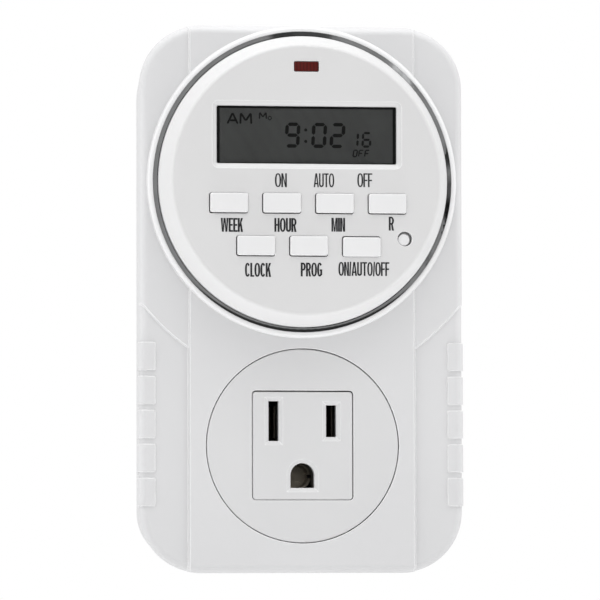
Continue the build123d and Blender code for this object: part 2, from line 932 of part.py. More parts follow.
def switch_plunger(x, z, radius):
    """Round plunger that a key pushes into its switch."""
    with BuildPart() as plunger:
        with BuildSketch(at_depth(plunger_top - plunger_length)):
            with Locations((x, dial_centre + z)):
                Circle(radius)
        extrude(amount=plunger_length)
    return plunger.part


key_places = {
    name: (upper_row_x + n * key_pitch, upper_row_z) for n, name in enumerate(upper_names)
}
for n, name in enumerate(lower_names):
    key_places[name] = (lower_row_x + n * key_pitch, lower_row_z)

for name, (x, z) in key_places.items():
    with BuildPart() as key:
        add(key_cap(x, z, -key_lean if name in low_sitting else key_lean))
    key.part.label = f"{name}_key"
    export_step(key.part, f"parts/{name}_key.step")
    with BuildPart() as plunger:
        add(switch_plunger(x, z, plunger_radius))
    plunger.part.label = f"{name}_plunger"
    export_step(plunger.part, f"parts/{name}_plunger.step")

# Reset button, reached with a pin through its hole

with BuildPart() as reset_button:
    button_place = (reset_x - reset_lean, dial_centre + reset_z - reset_lean)
    with BuildSketch(at_depth(flange_back)):
        with Locations(button_place):
            Circle(reset_flange_radius)
    extrude(amount=key_flange_thickness)
    with BuildSketch(at_depth(flange_front)):
        with Locations(button_place):
            Circle(reset_button_radius)
    extrude(amount=dial_face - reset_recess - flange_front)
    fillet(reset_button.faces().sort_by(Axis.Y)[0].edges(), key_edge)
    with BuildSketch(at_depth(plunger_top - plunger_length)):
        with Locations((reset_x, dial_centre + reset_z)):
            Circle(reset_plunger_radius)
    extrude(amount=flange_back - plunger_top + plunger_length)
reset_button.part.label = "reset_button"
export_step(reset_button.part, "parts/reset_button.step")

# Bodies of the eight push switches

with BuildPart() as key_switches:
    guide_depth = plunger_top - plunger_length - key_travel - guide_spare
    for x, z in key_places.values():
        with BuildSketch(at_depth(board_front)):
            with Locations((x, dial_centre + z)):
                RectangleRounded(switch_size, switch_size, switch_round)
        extrude(amount=switch_height)
        with BuildSketch(at_depth(guide_depth)):
            with Locations((x, dial_centre + z)):
                Circle(plunger_radius + running_gap)
        extrude(amount=switch_height, mode=Mode.SUBTRACT)
    with BuildSketch(at_depth(board_front)):
        with Locations((reset_x, dial_centre + reset_z)):
            RectangleRounded(reset_switch_size, reset_switch_size, switch_round)
    extrude(amount=switch_height)
    with BuildSketch(at_depth(guide_depth)):
        with Locations((reset_x, dial_centre + reset_z)):
            Circle(reset_plunger_radius + running_gap)
    extrude(amount=switch_height, mode=Mode.SUBTRACT)
key_switches.part.label = "key_switches"
export_step(key_switches.part, "parts/key_switches.step")

# Round control board

with BuildPart() as control_board:
    with BuildSketch(at_depth(board_back)):
        with Locations((0, dial_centre)):
            Circle(board_radius)
        with Locations(*dial_screw_places):
            Circle(dial_screw_radius + fit_gap, mode=Mode.SUBTRACT)
    extrude(amount=board_thickness)
control_board.part.label = "control_board"
export_step(control_board.part, "parts/control_board.step")

# Parts on the back of the control board

with BuildPart() as timer_chip:
    with BuildSketch(at_depth(board_back)):
        with Locations((chip_place[0], dial_centre + chip_place[1])):
            Circle(chip_radius)
    extrude(amount=-chip_height)
    fillet(timer_chip.faces().sort_by(Axis.Y)[-1].edges(), chip_round)
timer_chip.part.label = "timer_chip"
export_step(timer_chip.part, "parts/timer_chip.step")

with BuildPart() as crystal:
    start_x, crystal_z = crystal_place
    lying_y = -(board_back - crystal_radius)
    with BuildSketch(Plane.YZ.offset(start_x)):
        with Locations((lying_y, dial_centre + crystal_z)):
            Circle(crystal_radius)
    extrude(amount=crystal_length)
    with BuildSketch(Plane.YZ.offset(start_x + crystal_length)):
        with Locations((lying_y, dial_centre + crystal_z)):
            with GridLocations(1, crystal_lead_spacing, 1, 2):
                Circle(crystal_lead_radius)
    extrude(amount=crystal_lead_length)
crystal.part.label = "crystal"
export_step(crystal.part, "parts/crystal.step")

battery_x = battery_place[0]
battery_z = dial_centre + battery_place[1]
battery_far = board_back - tab_sheet - battery_height

with BuildPart() as backup_battery:
    with BuildSketch(at_depth(battery_far)):
        with Locations((battery_x, battery_z)):
            Circle(battery_radius)
    extrude(amount=battery_height)
    fillet(backup_battery.faces().sort_by(Axis.Y)[-1].edges(), battery_round)
    fillet(backup_battery.faces().sort_by(Axis.Y)[0].edges(), battery_cap_round)
backup_battery.part.label = "backup_battery"
export_step(backup_battery.part, "parts/backup_battery.step")

with BuildPart() as battery_tabs:
    with BuildSketch(at_depth(board_back)):
        with Locations((battery_x - battery_radius / 2, battery_z)):
            Rectangle(battery_radius, tab_width)
    extrude(amount=-tab_sheet)
    strap_length = battery_radius + tab_overhang
    with BuildSketch(at_depth(battery_far)):
        with Locations((battery_x + strap_length / 2, battery_z)):
            Rectangle(strap_length, tab_width)
    extrude(amount=-tab_sheet)
    with BuildSketch(at_depth(battery_far - tab_sheet)):
        with Locations((battery_x + strap_length - tab_sheet / 2, battery_z)):
            Rectangle(tab_sheet, tab_width)
    extrude(amount=board_back - battery_far + tab_sheet)
battery_tabs.part.label = "battery_tabs"
export_step(battery_tabs.part, "parts/battery_tabs.step")

# Cup that closes the dial from behind and clamps it to the front shell

with BuildPart() as dial_cover:
    cup_radius = dial_wall - bezel_lip - cover_step_in
    with BuildSketch(at_depth(plate_back - cover_flange)):
        with Locations((0, dial_centre)):
            Circle(dial_wall + cover_lap)
    extrude(amount=cover_flange)
    # the flange is flat at the top, where it meets the shell's end wall
    add(casing_blank(plate_back, -casing_wall - fit_gap, 0), mode=Mode.INTERSECT)
    # and it goes round the shell's screw bosses
    with BuildSketch(at_depth(plate_back - cover_flange)):
        with Locations(*case_screw_places):
            Circle(case_boss_radius + fit_gap)
    extrude(amount=cover_flange, mode=Mode.SUBTRACT)
    with BuildSketch(at_depth(cover_floor)):
        with Locations((0, dial_centre)):
            Circle(cup_radius)
    extrude(amount=plate_back - cover_floor)
    fillet(dial_cover.faces().sort_by(Axis.Y)[-1].edges(), cover_edge)
    with BuildSketch(at_depth(cover_floor + cover_wall)):
        with Locations((0, dial_centre)):
            Circle(cup_radius - cover_wall)
    extrude(amount=casing_depth, mode=Mode.SUBTRACT)
    with BuildSketch(at_depth(cover_floor + cover_wall / 2)):
        with Locations(*dial_screw_places):
            Circle(dial_screw_radius + column_wall)
    extrude(amount=board_back - cover_floor - cover_wall / 2)
    with BuildSketch(at_depth(cover_floor)):
        with Locations(*dial_screw_places):
            Circle(dial_screw_radius + fit_gap)
    extrude(amount=casing_depth, mode=Mode.SUBTRACT)
    with BuildSketch(at_depth(cover_floor)):
        with Locations(*dial_screw_places):
            Circle(dial_screw_head + fit_gap)
    extrude(amount=cover_screw_seat - cover_floor, mode=Mode.SUBTRACT)
    # slot for the ribbon cable
    with BuildSketch(at_depth(cover_floor)):
        with Locations((ribbon_x, ribbon_z)):
            Rectangle(ribbon_width + 2 * fit_gap, ribbon_thickness + 2 * fit_gap)
    extrude(amount=2 * cover_wall, mode=Mode.SUBTRACT)
dial_cover.part.label = "dial_cover"
export_step(dial_cover.part, "parts/dial_cover.step")

with BuildPart() as dial_screws:
    for place in dial_screw_places:
        add(
            screw(
                place,
                cover_screw_seat,
                board_front + dial_screw_reach,
                dial_screw_head,
                dial_screw_head_height,
                dial_screw_radius,
            )
        )
dial_screws.part.label = "dial_screws"
export_step(dial_screws.part, "parts/dial_screws.step")

# Ribbon cable between the two boards

with BuildPart() as ribbon_cable:
    middle = cover_floor - cover_wall - ribbon_bend
    with BuildLine() as ribbon_route:
        FilletPolyline(
            (ribbon_x, -board_back, ribbon_z),
            (ribbon_x, -middle, ribbon_z),
            (ribbon_x, -(middle - ribbon_shift), ribbon_z - ribbon_shift),
            (ribbon_x, -power_front, ribbon_z - ribbon_shift),
            radius=ribbon_bend,
        )
    with BuildSketch(Plane(ribbon_route.line @ 0, x_dir=(1, 0, 0), z_dir=ribbon_route.line % 0)):
        Rectangle(ribbon_width, ribbon_thickness)
    sweep(path=ribbon_route.line)
ribbon_cable.part.label = "ribbon_cable"
export_step(ribbon_cable.part, "parts/ribbon_cable.step")

# Round insert plate round the outlet

with BuildPart() as socket_disc:
    with BuildSketch(at_depth(plate_back)):
        with Locations((0, insert_z)):
            Circle(insert_radius - hairline / 2)
    extrude(amount=casing_depth - plate_back)
    fillet(socket_disc.faces().sort_by(Axis.Y)[0].edges(), insert_edge)
    with BuildSketch(at_depth(plate_back - insert_flange_thickness)):
        with Locations((0, insert_z)):
            Circle(insert_radius + insert_flange)
    extrude(amount=insert_flange_thickness)
    with BuildSketch(at_depth(plate_back - insert_flange_thickness)):
        with Locations((0, insert_z + face_drop)):
            RectangleRounded(face_width + face_gap, face_height + face_gap, face_round + face_gap / 2)
    extrude(amount=casing_depth, mode=Mode.SUBTRACT)
socket_disc.part.label = "socket_disc"
export_step(socket_disc.part, "parts/socket_disc.step")


# Square outlet face with its three openings


def outlet_openings(depth, room):
    """Outline of the two slots and the ground hole, at a depth, larger by some room."""
    with BuildSketch(at_depth(depth)) as openings:
        with Locations((neutral_x, 0)):
            Rectangle(slot_width + room, neutral_slot + room)
        with Locations((hot_x, 0)):
            Rectangle(slot_width + room, hot_slot + room)
        with Locations((0, ground_hole_arc)):
            Circle((ground_hole_width + room) / 2)
        with Locations((0, ground_hole_arc)):
            Rectangle(
                ground_hole_width + room,
                ground_hole_arc - ground_hole_low + room / 2,
                align=(Align.CENTER, Align.MAX),
            )
    return openings.sketch


with BuildPart() as socket_face:
    with BuildSketch(at_depth(face_back)):
        with Locations((0, insert_z)):
            RectangleRounded(face_width + 2 * face_flange, face_height + 2 * face_flange, face_round)
    extrude(amount=plate_back - insert_flange_thickness - face_back)
    with BuildSketch(at_depth(face_back)):
        with Locations((0, insert_z)):
            RectangleRounded(face_width, face_height, face_round)
    extrude(amount=casing_depth - face_back)
    fillet(socket_face.faces().sort_by(Axis.Y)[0].edges(), face_edge)
    extrude(outlet_openings(face_back, 0), amount=casing_depth, mode=Mode.SUBTRACT)
    front_face = socket_face.faces().sort_by(Axis.Y)[0]
    rims = front_face.inner_wires().edges()
    chamfer(rims, slot_bevel_width, slot_bevel_depth, reference=front_face)
    # pocket behind the plate for the carrier's nose
    with BuildSketch(at_depth(face_back)):
        with Locations((0, insert_z)):
            Rectangle(pocket_width, pocket_height)
    extrude(amount=nose_front - face_back, mode=Mode.SUBTRACT)
socket_face.part.label = "socket_face"
export_step(socket_face.part, "parts/socket_face.step")

# Insulating carrier behind the outlet face

with BuildPart() as contact_carrier:
    with BuildSketch(at_depth(carrier_back)):
        with Locations((0, insert_z)):
            RectangleRounded(carrier_width, carrier_height, carrier_corner)
    extrude(amount=carrier_plate)
    with BuildSketch(at_depth(carrier_back)):
        with Locations((0, insert_z)):
            RectangleRounded(carrier_block_width, carrier_block_height, carrier_block_corner)
    extrude(amount=carrier_front - carrier_back)
    with BuildSketch(at_depth(contact_back)):
        with Locations((neutral_x, 0), (hot_x, 0)):
            Rectangle(well_width, well_height)
        with Locations((0, ground_z)):
            Circle(well_radius)
    extrude(amount=carrier_front - contact_back, mode=Mode.SUBTRACT)
    # nose that fills the pocket of the outlet face
    with BuildSketch(at_depth(carrier_front)):
        with Locations((0, insert_z)):
            Rectangle(pocket_width - 2 * fit_gap, pocket_height - 2 * fit_gap)
    extrude(amount=nose_front - carrier_front)
    extrude(outlet_openings(carrier_front, fit_gap), amount=casing_depth, mode=Mode.SUBTRACT)
    with BuildSketch(at_depth(carrier_back)):
        with Locations(*carrier_screw_places):
            Circle(carrier_screw_radius + fit_gap)
        with Locations((neutral_link_x, 0)):
            Rectangle(link_thickness + fit_gap, link_width + fit_gap)
        with Locations((hot_x, 0)):
            Rectangle(link_thickness + fit_gap, link_width + fit_gap)
        with Locations((0, ground_z)):
            Rectangle(ground_link_width + fit_gap, link_thickness + fit_gap)
    extrude(amount=2 * contact_floor, mode=Mode.SUBTRACT)
contact_carrier.part.label = "contact_carrier"
export_step(contact_carrier.part, "parts/contact_carrier.step")

with BuildPart() as carrier_screws:
    for place in carrier_screw_places:
        add(
            screw(
                place,
                carrier_back,
                carrier_back + carrier_plate + carrier_screw_reach - screw_spare,
                carrier_screw_head,
                carrier_screw_head_height,
                carrier_screw_radius,
            )
        )
carrier_screws.part.label = "carrier_screws"
export_step(carrier_screws.part, "parts/carrier_screws.step")


# Spring contacts for the user's plug


def leaf_contact(centre_x, tail):
    """Two sprung leaves on a base plate, with an optional tail behind."""
    root = contact_back + contact_sheet
    pinch = contact_back + contact_waist * contact_reach
    mouth = contact_back + contact_reach
    outer = contact_base_width / 2
    with BuildPart() as contact:
        with BuildSketch(at_depth(contact_back)):
            with Locations((centre_x, 0)):
                Rectangle(contact_base_width, contact_height)
        extrude(amount=contact_sheet)
        with BuildSketch(Plane.XY.offset(-contact_height / 2)):
            for side in (-1, 1):
                with BuildLine():
                    Polyline(
                        (centre_x + side * outer, -contact_back),
                        (centre_x + side * (contact_pinch + contact_sheet), -pinch),
                        (centre_x + side * (contact_mouth + contact_sheet), -mouth),
                        (centre_x + side * contact_mouth, -mouth),
                        (centre_x + side * contact_pinch, -pinch),
                        (centre_x + side * (outer - contact_sheet), -root),
                        (centre_x + side * (outer - contact_sheet), -contact_back),
                        close=True,
                    )
                make_face()
        extrude(amount=contact_height)
        if tail:
            with BuildSketch(at_depth(contact_back - tail)):
                with Locations((centre_x, 0)):
                    Rectangle(link_thickness, link_width)
            extrude(amount=tail)
    return contact.part


with BuildPart() as neutral_contact:
    add(leaf_contact(neutral_x, 0))
neutral_contact.part.label = "neutral_contact"
export_step(neutral_contact.part, "parts/neutral_contact.step")

with BuildPart() as hot_contact:
    add(leaf_contact(hot_x, hot_tail))
hot_contact.part.label = "hot_contact"
export_step(hot_contact.part, "parts/hot_contact.step")

with BuildPart() as ground_contact:
    with BuildSketch(at_depth(contact_back)):
        with Locations((0, ground_z)):
            Circle(sleeve_radius + contact_sheet)
    extrude(amount=contact_reach)
    with BuildSketch(at_depth(contact_back + contact_sheet)):
        with Locations((0, ground_z)):
            Circle(sleeve_radius)
            Rectangle(sleeve_slit, 4 * sleeve_radius)
            Rectangle(4 * sleeve_radius, sleeve_slit)
    extrude(amount=contact_reach, mode=Mode.SUBTRACT)
ground_contact.part.label = "ground_contact"
export_step(ground_contact.part, "parts/ground_contact.step")

# Plug block and its screws

with BuildPart() as plug_base:
    with BuildSketch(Plane.XZ):
        with Locations((0, plug_z)):
            RectangleRounded(plug_width, plug_height, plug_round)
    extrude(amount=plug_depth)
    with BuildSketch(at_depth(plug_depth - plug_flange)):
        with Locations((0, plug_z)):
            RectangleRounded(plug_flange_width, plug_flange_height, plug_flange_corner)
    extrude(amount=plug_flange)
    with BuildSketch(Plane.XZ):
        with Locations((neutral_x, 0)):
            Rectangle(blade_thickness, neutral_height)
        with Locations((hot_x, 0)):
            Rectangle(blade_thickness, hot_height)
        with Locations((0, ground_z)):
            Circle(pin_root_radius)
    extrude(amount=plug_depth, mode=Mode.SUBTRACT)
    with BuildSketch(Plane.XZ):
        with Locations(*plug_screw_places):
            Circle(plug_screw_radius + fit_gap)
    extrude(amount=plug_depth, mode=Mode.SUBTRACT)
plug_base.part.label = "plug_base"
export_step(plug_base.part, "parts/plug_base.step")


def inside_screw(place, seat, tip, head_radius, head_height, shank_radius):
    """Pan head screw driven from inside the casing towards the back."""
    turned = screw((0, 0), -seat, -tip, head_radius, head_height, shank_radius)
    with BuildPart() as placed:
        add(turned.mirror(Plane.XZ).moved(Location((place[0], 0, place[1]))))
    return placed.part


with BuildPart() as plug_screws:
    for place in plug_screw_places:
        add(
            inside_screw(
                place,
                plug_depth,
                plug_depth - plug_screw_reach,
                plug_screw_head,
                plug_screw_head_height,
                plug_screw_radius,
            )
        )
plug_screws.part.label = "plug_screws"
export_step(plug_screws.part, "parts/plug_screws.step")


# Prongs of the wall plug


def flat_prong(centre_x, height):
    """Flat blade with a pointed end and a round hole, through the plug block."""
    nose = blade_length - blade_point
    half = height / 2
    thick = blade_thickness / 2
    with BuildPart() as prong:
        with BuildSketch(Plane.YZ.offset(centre_x - thick)):
            with BuildLine():
                Polyline(
                    (-blade_inner, -half),
                    (nose, -half),
                    (blade_length, -half + blade_point),
                    (blade_length, half - blade_point),
                    (nose, half),
                    (-blade_inner, half),
                    close=True,
                )
            make_face()
            with Locations((blade_hole_place, 0)):
                Circle(blade_hole, mode=Mode.SUBTRACT)
        extrude(amount=blade_thickness)
        with BuildSketch(Plane.XY.offset(-height)):
            with BuildLine():
                Polyline(
                    (centre_x - thick, -blade_inner),
                    (centre_x - thick, nose),
                    (centre_x - thick / 3, blade_length),
                    (centre_x + thick / 3, blade_length),
                    (centre_x + thick, nose),
                    (centre_x + thick, -blade_inner),
                    close=True,
                )
            make_face()
        extrude(amount=2 * height, mode=Mode.INTERSECT)
    return prong.part


with BuildPart() as neutral_blade:
    add(flat_prong(neutral_x, neutral_height))
neutral_blade.part.label = "neutral_blade"
export_step(neutral_blade.part, "parts/neutral_blade.step")

with BuildPart() as hot_blade:
    add(flat_prong(hot_x, hot_height))
hot_blade.part.label = "hot_blade"
export_step(hot_blade.part, "parts/hot_blade.step")

with BuildPart() as ground_pin:
    with BuildSketch(Plane.XZ):
        with Locations((0, ground_z)):
            Circle(pin_radius)
    extrude(amount=-pin_length)
    fillet(ground_pin.faces().sort_by(Axis.Y)[-1].edges(), pin_round)
    with BuildSketch(Plane.XZ):
        with Locations((0, ground_z)):
            Circle(pin_root_radius)
    extrude(amount=blade_inner)
ground_pin.part.label = "ground_pin"
export_step(ground_pin.part, "parts/ground_pin.step")

# Brass links from the prongs to the contacts

with BuildPart() as neutral_link:
    with BuildSketch(at_depth(blade_inner - link_lap)):
        with Locations((neutral_link_x, 0)):
            Rectangle(link_thickness, link_width)
    extrude(amount=contact_back - blade_inner + link_lap)
neutral_link.part.label = "neutral_link"
export_step(neutral_link.part, "parts/neutral_link.step")

with BuildPart() as ground_link:
    with BuildSketch(at_depth(blade_inner)):
        with Locations((0, ground_z)):
            Rectangle(ground_link_width, link_thickness)
    extrude(amount=contact_back - blade_inner)
ground_link.part.label = "ground_link"
export_step(ground_link.part, "parts/ground_link.step")

# Power board and its screws

with BuildPart() as power_board:
    with BuildSketch(at_depth(power_back)):
        with Locations((0, (power_low + power_high) / 2)):
            RectangleRounded(power_width, power_high - power_low, power_corner)
        with Locations(*power_screw_places):
            Circle(power_screw_radius + fit_gap, mode=Mode.SUBTRACT)
    extrude(amount=power_thickness)
power_board.part.label = "power_board"
export_step(power_board.part, "parts/power_board.step")

with BuildPart() as board_screws:
    for place in power_screw_places:
        add(
            inside_screw(
                place,
                power_front,
                power_screw_tip,
                power_screw_head,
                power_screw_head_height,
                power_screw_radius,
            )
        )
board_screws.part.label = "board_screws"
export_step(board_screws.part, "parts/board_screws.step")

# Relay: case with its base, coil with core and yoke, rocking armature

relay_floor = power_front + relay_base
core_top = relay_floor + yoke_thickness + coil_length + core_proud
yoke_x = relay_x - coil_radius - yoke_gap - yoke_thickness

with BuildPart() as relay_case:
    with BuildSketch(at_depth(power_front)):
        with Locations((relay_x, relay_z)):
            RectangleRounded(relay_width, relay_height, relay_corner)
    extrude(amount=relay_tall)
    fillet(relay_case.faces().sort_by(Axis.Y)[0].edges(), relay_edge)
    with BuildSketch(at_depth(relay_floor)):
        with Locations((relay_x, relay_z)):
            Rectangle(relay_width - 2 * relay_wall, relay_height - 2 * relay_wall)
    extrude(amount=relay_tall - relay_base - relay_wall, mode=Mode.SUBTRACT)
relay_case.part.label = "relay_case"
export_step(relay_case.part, "parts/relay_case.step")

with BuildPart() as relay_coil:
    with BuildSketch(at_depth(relay_floor + yoke_thickness)):
        with Locations((relay_x, relay_z)):
            Circle(coil_radius)
    extrude(amount=coil_length)
    with BuildSketch(at_depth(relay_floor + yoke_thickness)):
        with Locations((relay_x, relay_z)):
            Circle(core_radius)
    extrude(amount=core_top - relay_floor - yoke_thickness)
    with BuildSketch(at_depth(relay_floor)):
        with Locations(((yoke_x + relay_x + coil_radius) / 2, relay_z)):
            Rectangle(relay_x + coil_radius - yoke_x, yoke_width)
    extrude(amount=yoke_thickness)
    with BuildSketch(at_depth(relay_floor)):
        with Locations((yoke_x + yoke_thickness / 2, relay_z)):
            Rectangle(yoke_thickness, yoke_width)
    extrude(amount=core_top - relay_floor)
relay_coil.part.label = "relay_coil"
export_step(relay_coil.part, "parts/relay_coil.step")

with BuildPart() as relay_armature:
    # at rest the armature stands off the core and leans on the yoke's edge
    pivot = (yoke_x, -(core_top + armature_gap))
    reach = relay_x + coil_radius - yoke_x
    with BuildSketch(Plane.XY.offset(relay_z - yoke_width / 2)):
        with Locations(Location((pivot[0], pivot[1], 0), (0, 0, -armature_tilt))):
            Rectangle(reach, armature_thickness, align=(Align.MIN, Align.MAX))
    extrude(amount=yoke_width)
relay_armature.part.label = "relay_armature"
export_step(relay_armature.part, "parts/relay_armature.step")

# Dropper capacitor

with BuildPart() as dropper_capacitor:
    with BuildSketch(at_depth(power_front)):
        with Locations(dropper_place):
            RectangleRounded(dropper_width, dropper_height, dropper_corner)
    extrude(amount=dropper_tall)
    fillet(dropper_capacitor.faces().sort_by(Axis.Y)[0].edges(), dropper_corner)
dropper_capacitor.part.label = "dropper_capacitor"
export_step(dropper_capacitor.part, "parts/dropper_capacitor.step")

# Small parts on the power board

with BuildPart() as board_parts:
    # filter capacitors
    for place, radius, tall in can_sizes:
        with BuildSketch(at_depth(power_front)):
            with Locations(place):
                Circle(radius)
        extrude(amount=tall)
    # varistor disc, standing on its two leads
    varistor_x, varistor_z = varistor_place
    varistor_middle = power_front + lead_rise + varistor_radius
    with BuildSketch(Plane.XY.offset(varistor_z - varistor_thickness / 2)):
        with Locations((varistor_x, -varistor_middle)):
            Circle(varistor_radius)
    extrude(amount=varistor_thickness)
    with BuildSketch(at_depth(power_front)):
        with Locations(varistor_place):
            with GridLocations(varistor_leads, 1, 2, 1):
                Circle(lead_radius)
    extrude(amount=varistor_middle - power_front)
    # transistor with a flat side, on three leads
    with BuildSketch(at_depth(power_front + lead_rise)):
        with Locations(transistor_place):
            Circle(transistor_radius)
            with Locations((0, -transistor_flat)):
                Rectangle(
                    2 * transistor_radius,
                    transistor_radius,
                    align=(Align.CENTER, Align.MAX),
                    mode=Mode.SUBTRACT,
                )
    extrude(amount=transistor_tall)
    with BuildSketch(at_depth(power_front)):
        with Locations(transistor_place):
            with GridLocations(transistor_pitch, 1, 3, 1):
                Circle(lead_radius)
    extrude(amount=lead_rise + transistor_radius / 2)
    # diodes and resistors, lying
    for row in range(diode_count):
        place = (diode_place[0], diode_place[1] + row * diode_pitch)
        add(axial_part(place, diode_radius, diode_length, diode_span))
    for row in range(resistor_count):
        place = (resistor_place[0], resistor_place[1] + row * resistor_pitch)
        add(axial_part(place, resistor_radius, resistor_length, resistor_span))
board_parts.part.label = "board_parts"
export_step(board_parts.part, "parts/board_parts.step")

# Wires between the prongs, the board and the hot contact

pad_z = power_low + pad_inset
switched_start = contact_back - hot_tail / 2 - wire_radius

with BuildPart() as hot_feed_wire:
    add(
        round_wire(
            (hot_x, -feed_start, hot_height / 2),
            (hot_x, -feed_start, wire_rise),
            (feed_pad_x, -feed_crest, pad_z),
            (feed_pad_x, -power_front, pad_z),
        )
    )
hot_feed_wire.part.label = "hot_feed_wire"
export_step(hot_feed_wire.part, "parts/hot_feed_wire.step")

with BuildPart() as hot_switched_wire:
    add(
        round_wire(
            (hot_x, -switched_start, link_width / 2),
            (hot_x, -switched_start, wire_rise),
            (switched_pad_x, -switched_crest, pad_z),
            (switched_pad_x, -power_front, pad_z),
        )
    )
hot_switched_wire.part.label = "hot_switched_wire"
export_step(hot_switched_wire.part, "parts/hot_switched_wire.step")

with BuildPart() as neutral_tap_wire:
    add(
        round_wire(
            (neutral_link_x, -tap_start, link_width / 2),
            (neutral_link_x, -tap_start, wire_rise),
            (tap_pad_x, -tap_start, pad_z),
            (tap_pad_x, -power_front, pad_z),
        )
    )
neutral_tap_wire.part.label = "neutral_tap_wire"
export_step(neutral_tap_wire.part, "parts/neutral_tap_wire.step")
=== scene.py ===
import math

import bpy
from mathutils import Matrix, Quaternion, Vector
from mathutils.geometry import tessellate_polygon


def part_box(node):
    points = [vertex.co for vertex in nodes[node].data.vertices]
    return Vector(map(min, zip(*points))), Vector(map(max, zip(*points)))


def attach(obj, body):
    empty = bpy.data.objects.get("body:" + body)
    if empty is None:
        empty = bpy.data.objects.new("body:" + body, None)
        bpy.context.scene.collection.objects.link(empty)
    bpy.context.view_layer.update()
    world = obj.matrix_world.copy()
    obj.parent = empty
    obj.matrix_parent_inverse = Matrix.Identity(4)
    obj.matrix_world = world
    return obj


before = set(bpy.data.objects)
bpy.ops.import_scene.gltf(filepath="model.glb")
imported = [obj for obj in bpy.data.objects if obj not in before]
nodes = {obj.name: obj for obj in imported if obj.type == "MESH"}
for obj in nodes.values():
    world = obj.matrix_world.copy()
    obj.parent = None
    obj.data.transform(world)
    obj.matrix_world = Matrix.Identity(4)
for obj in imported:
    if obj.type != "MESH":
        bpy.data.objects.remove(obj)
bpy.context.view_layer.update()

# Digital plug-in timer, in metres, in the frame of the CAD model.
# X to the right from the front, Y towards the wall, Z up.
MM = 0.001
scene = bpy.context.scene


def span_of(node):
    """Lowest and highest corner of a CAD node, in millimetres."""
    low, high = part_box(node)
    return low / MM, high / MM


dial_low, dial_high = span_of("dial_bezel")
panel_low, panel_high = span_of("display_panel")
FRONT = span_of("socket_disc")[0].y  # Y of the raised band, in millimetres
DIAL_Z = (dial_low.z + dial_high.z) / 2  # height of the dial's centre
DIAL_Y = dial_low.y  # Y of the dial's flat face
PANEL_Y = panel_low.y  # Y of the display panel's front
PANEL_X = (panel_low.x + panel_high.x) / 2
PANEL_Z = (panel_low.z + panel_high.z) / 2


# Materials

EDGE_HIGHLIGHT_WHITE = (0.93, 0.93, 0.935)  # painted highlight that lightens the edges of the white plastics
EDGE = 0.00034  # radius over which an edge of the white plastics is rounded by bump and gets the painted highlight
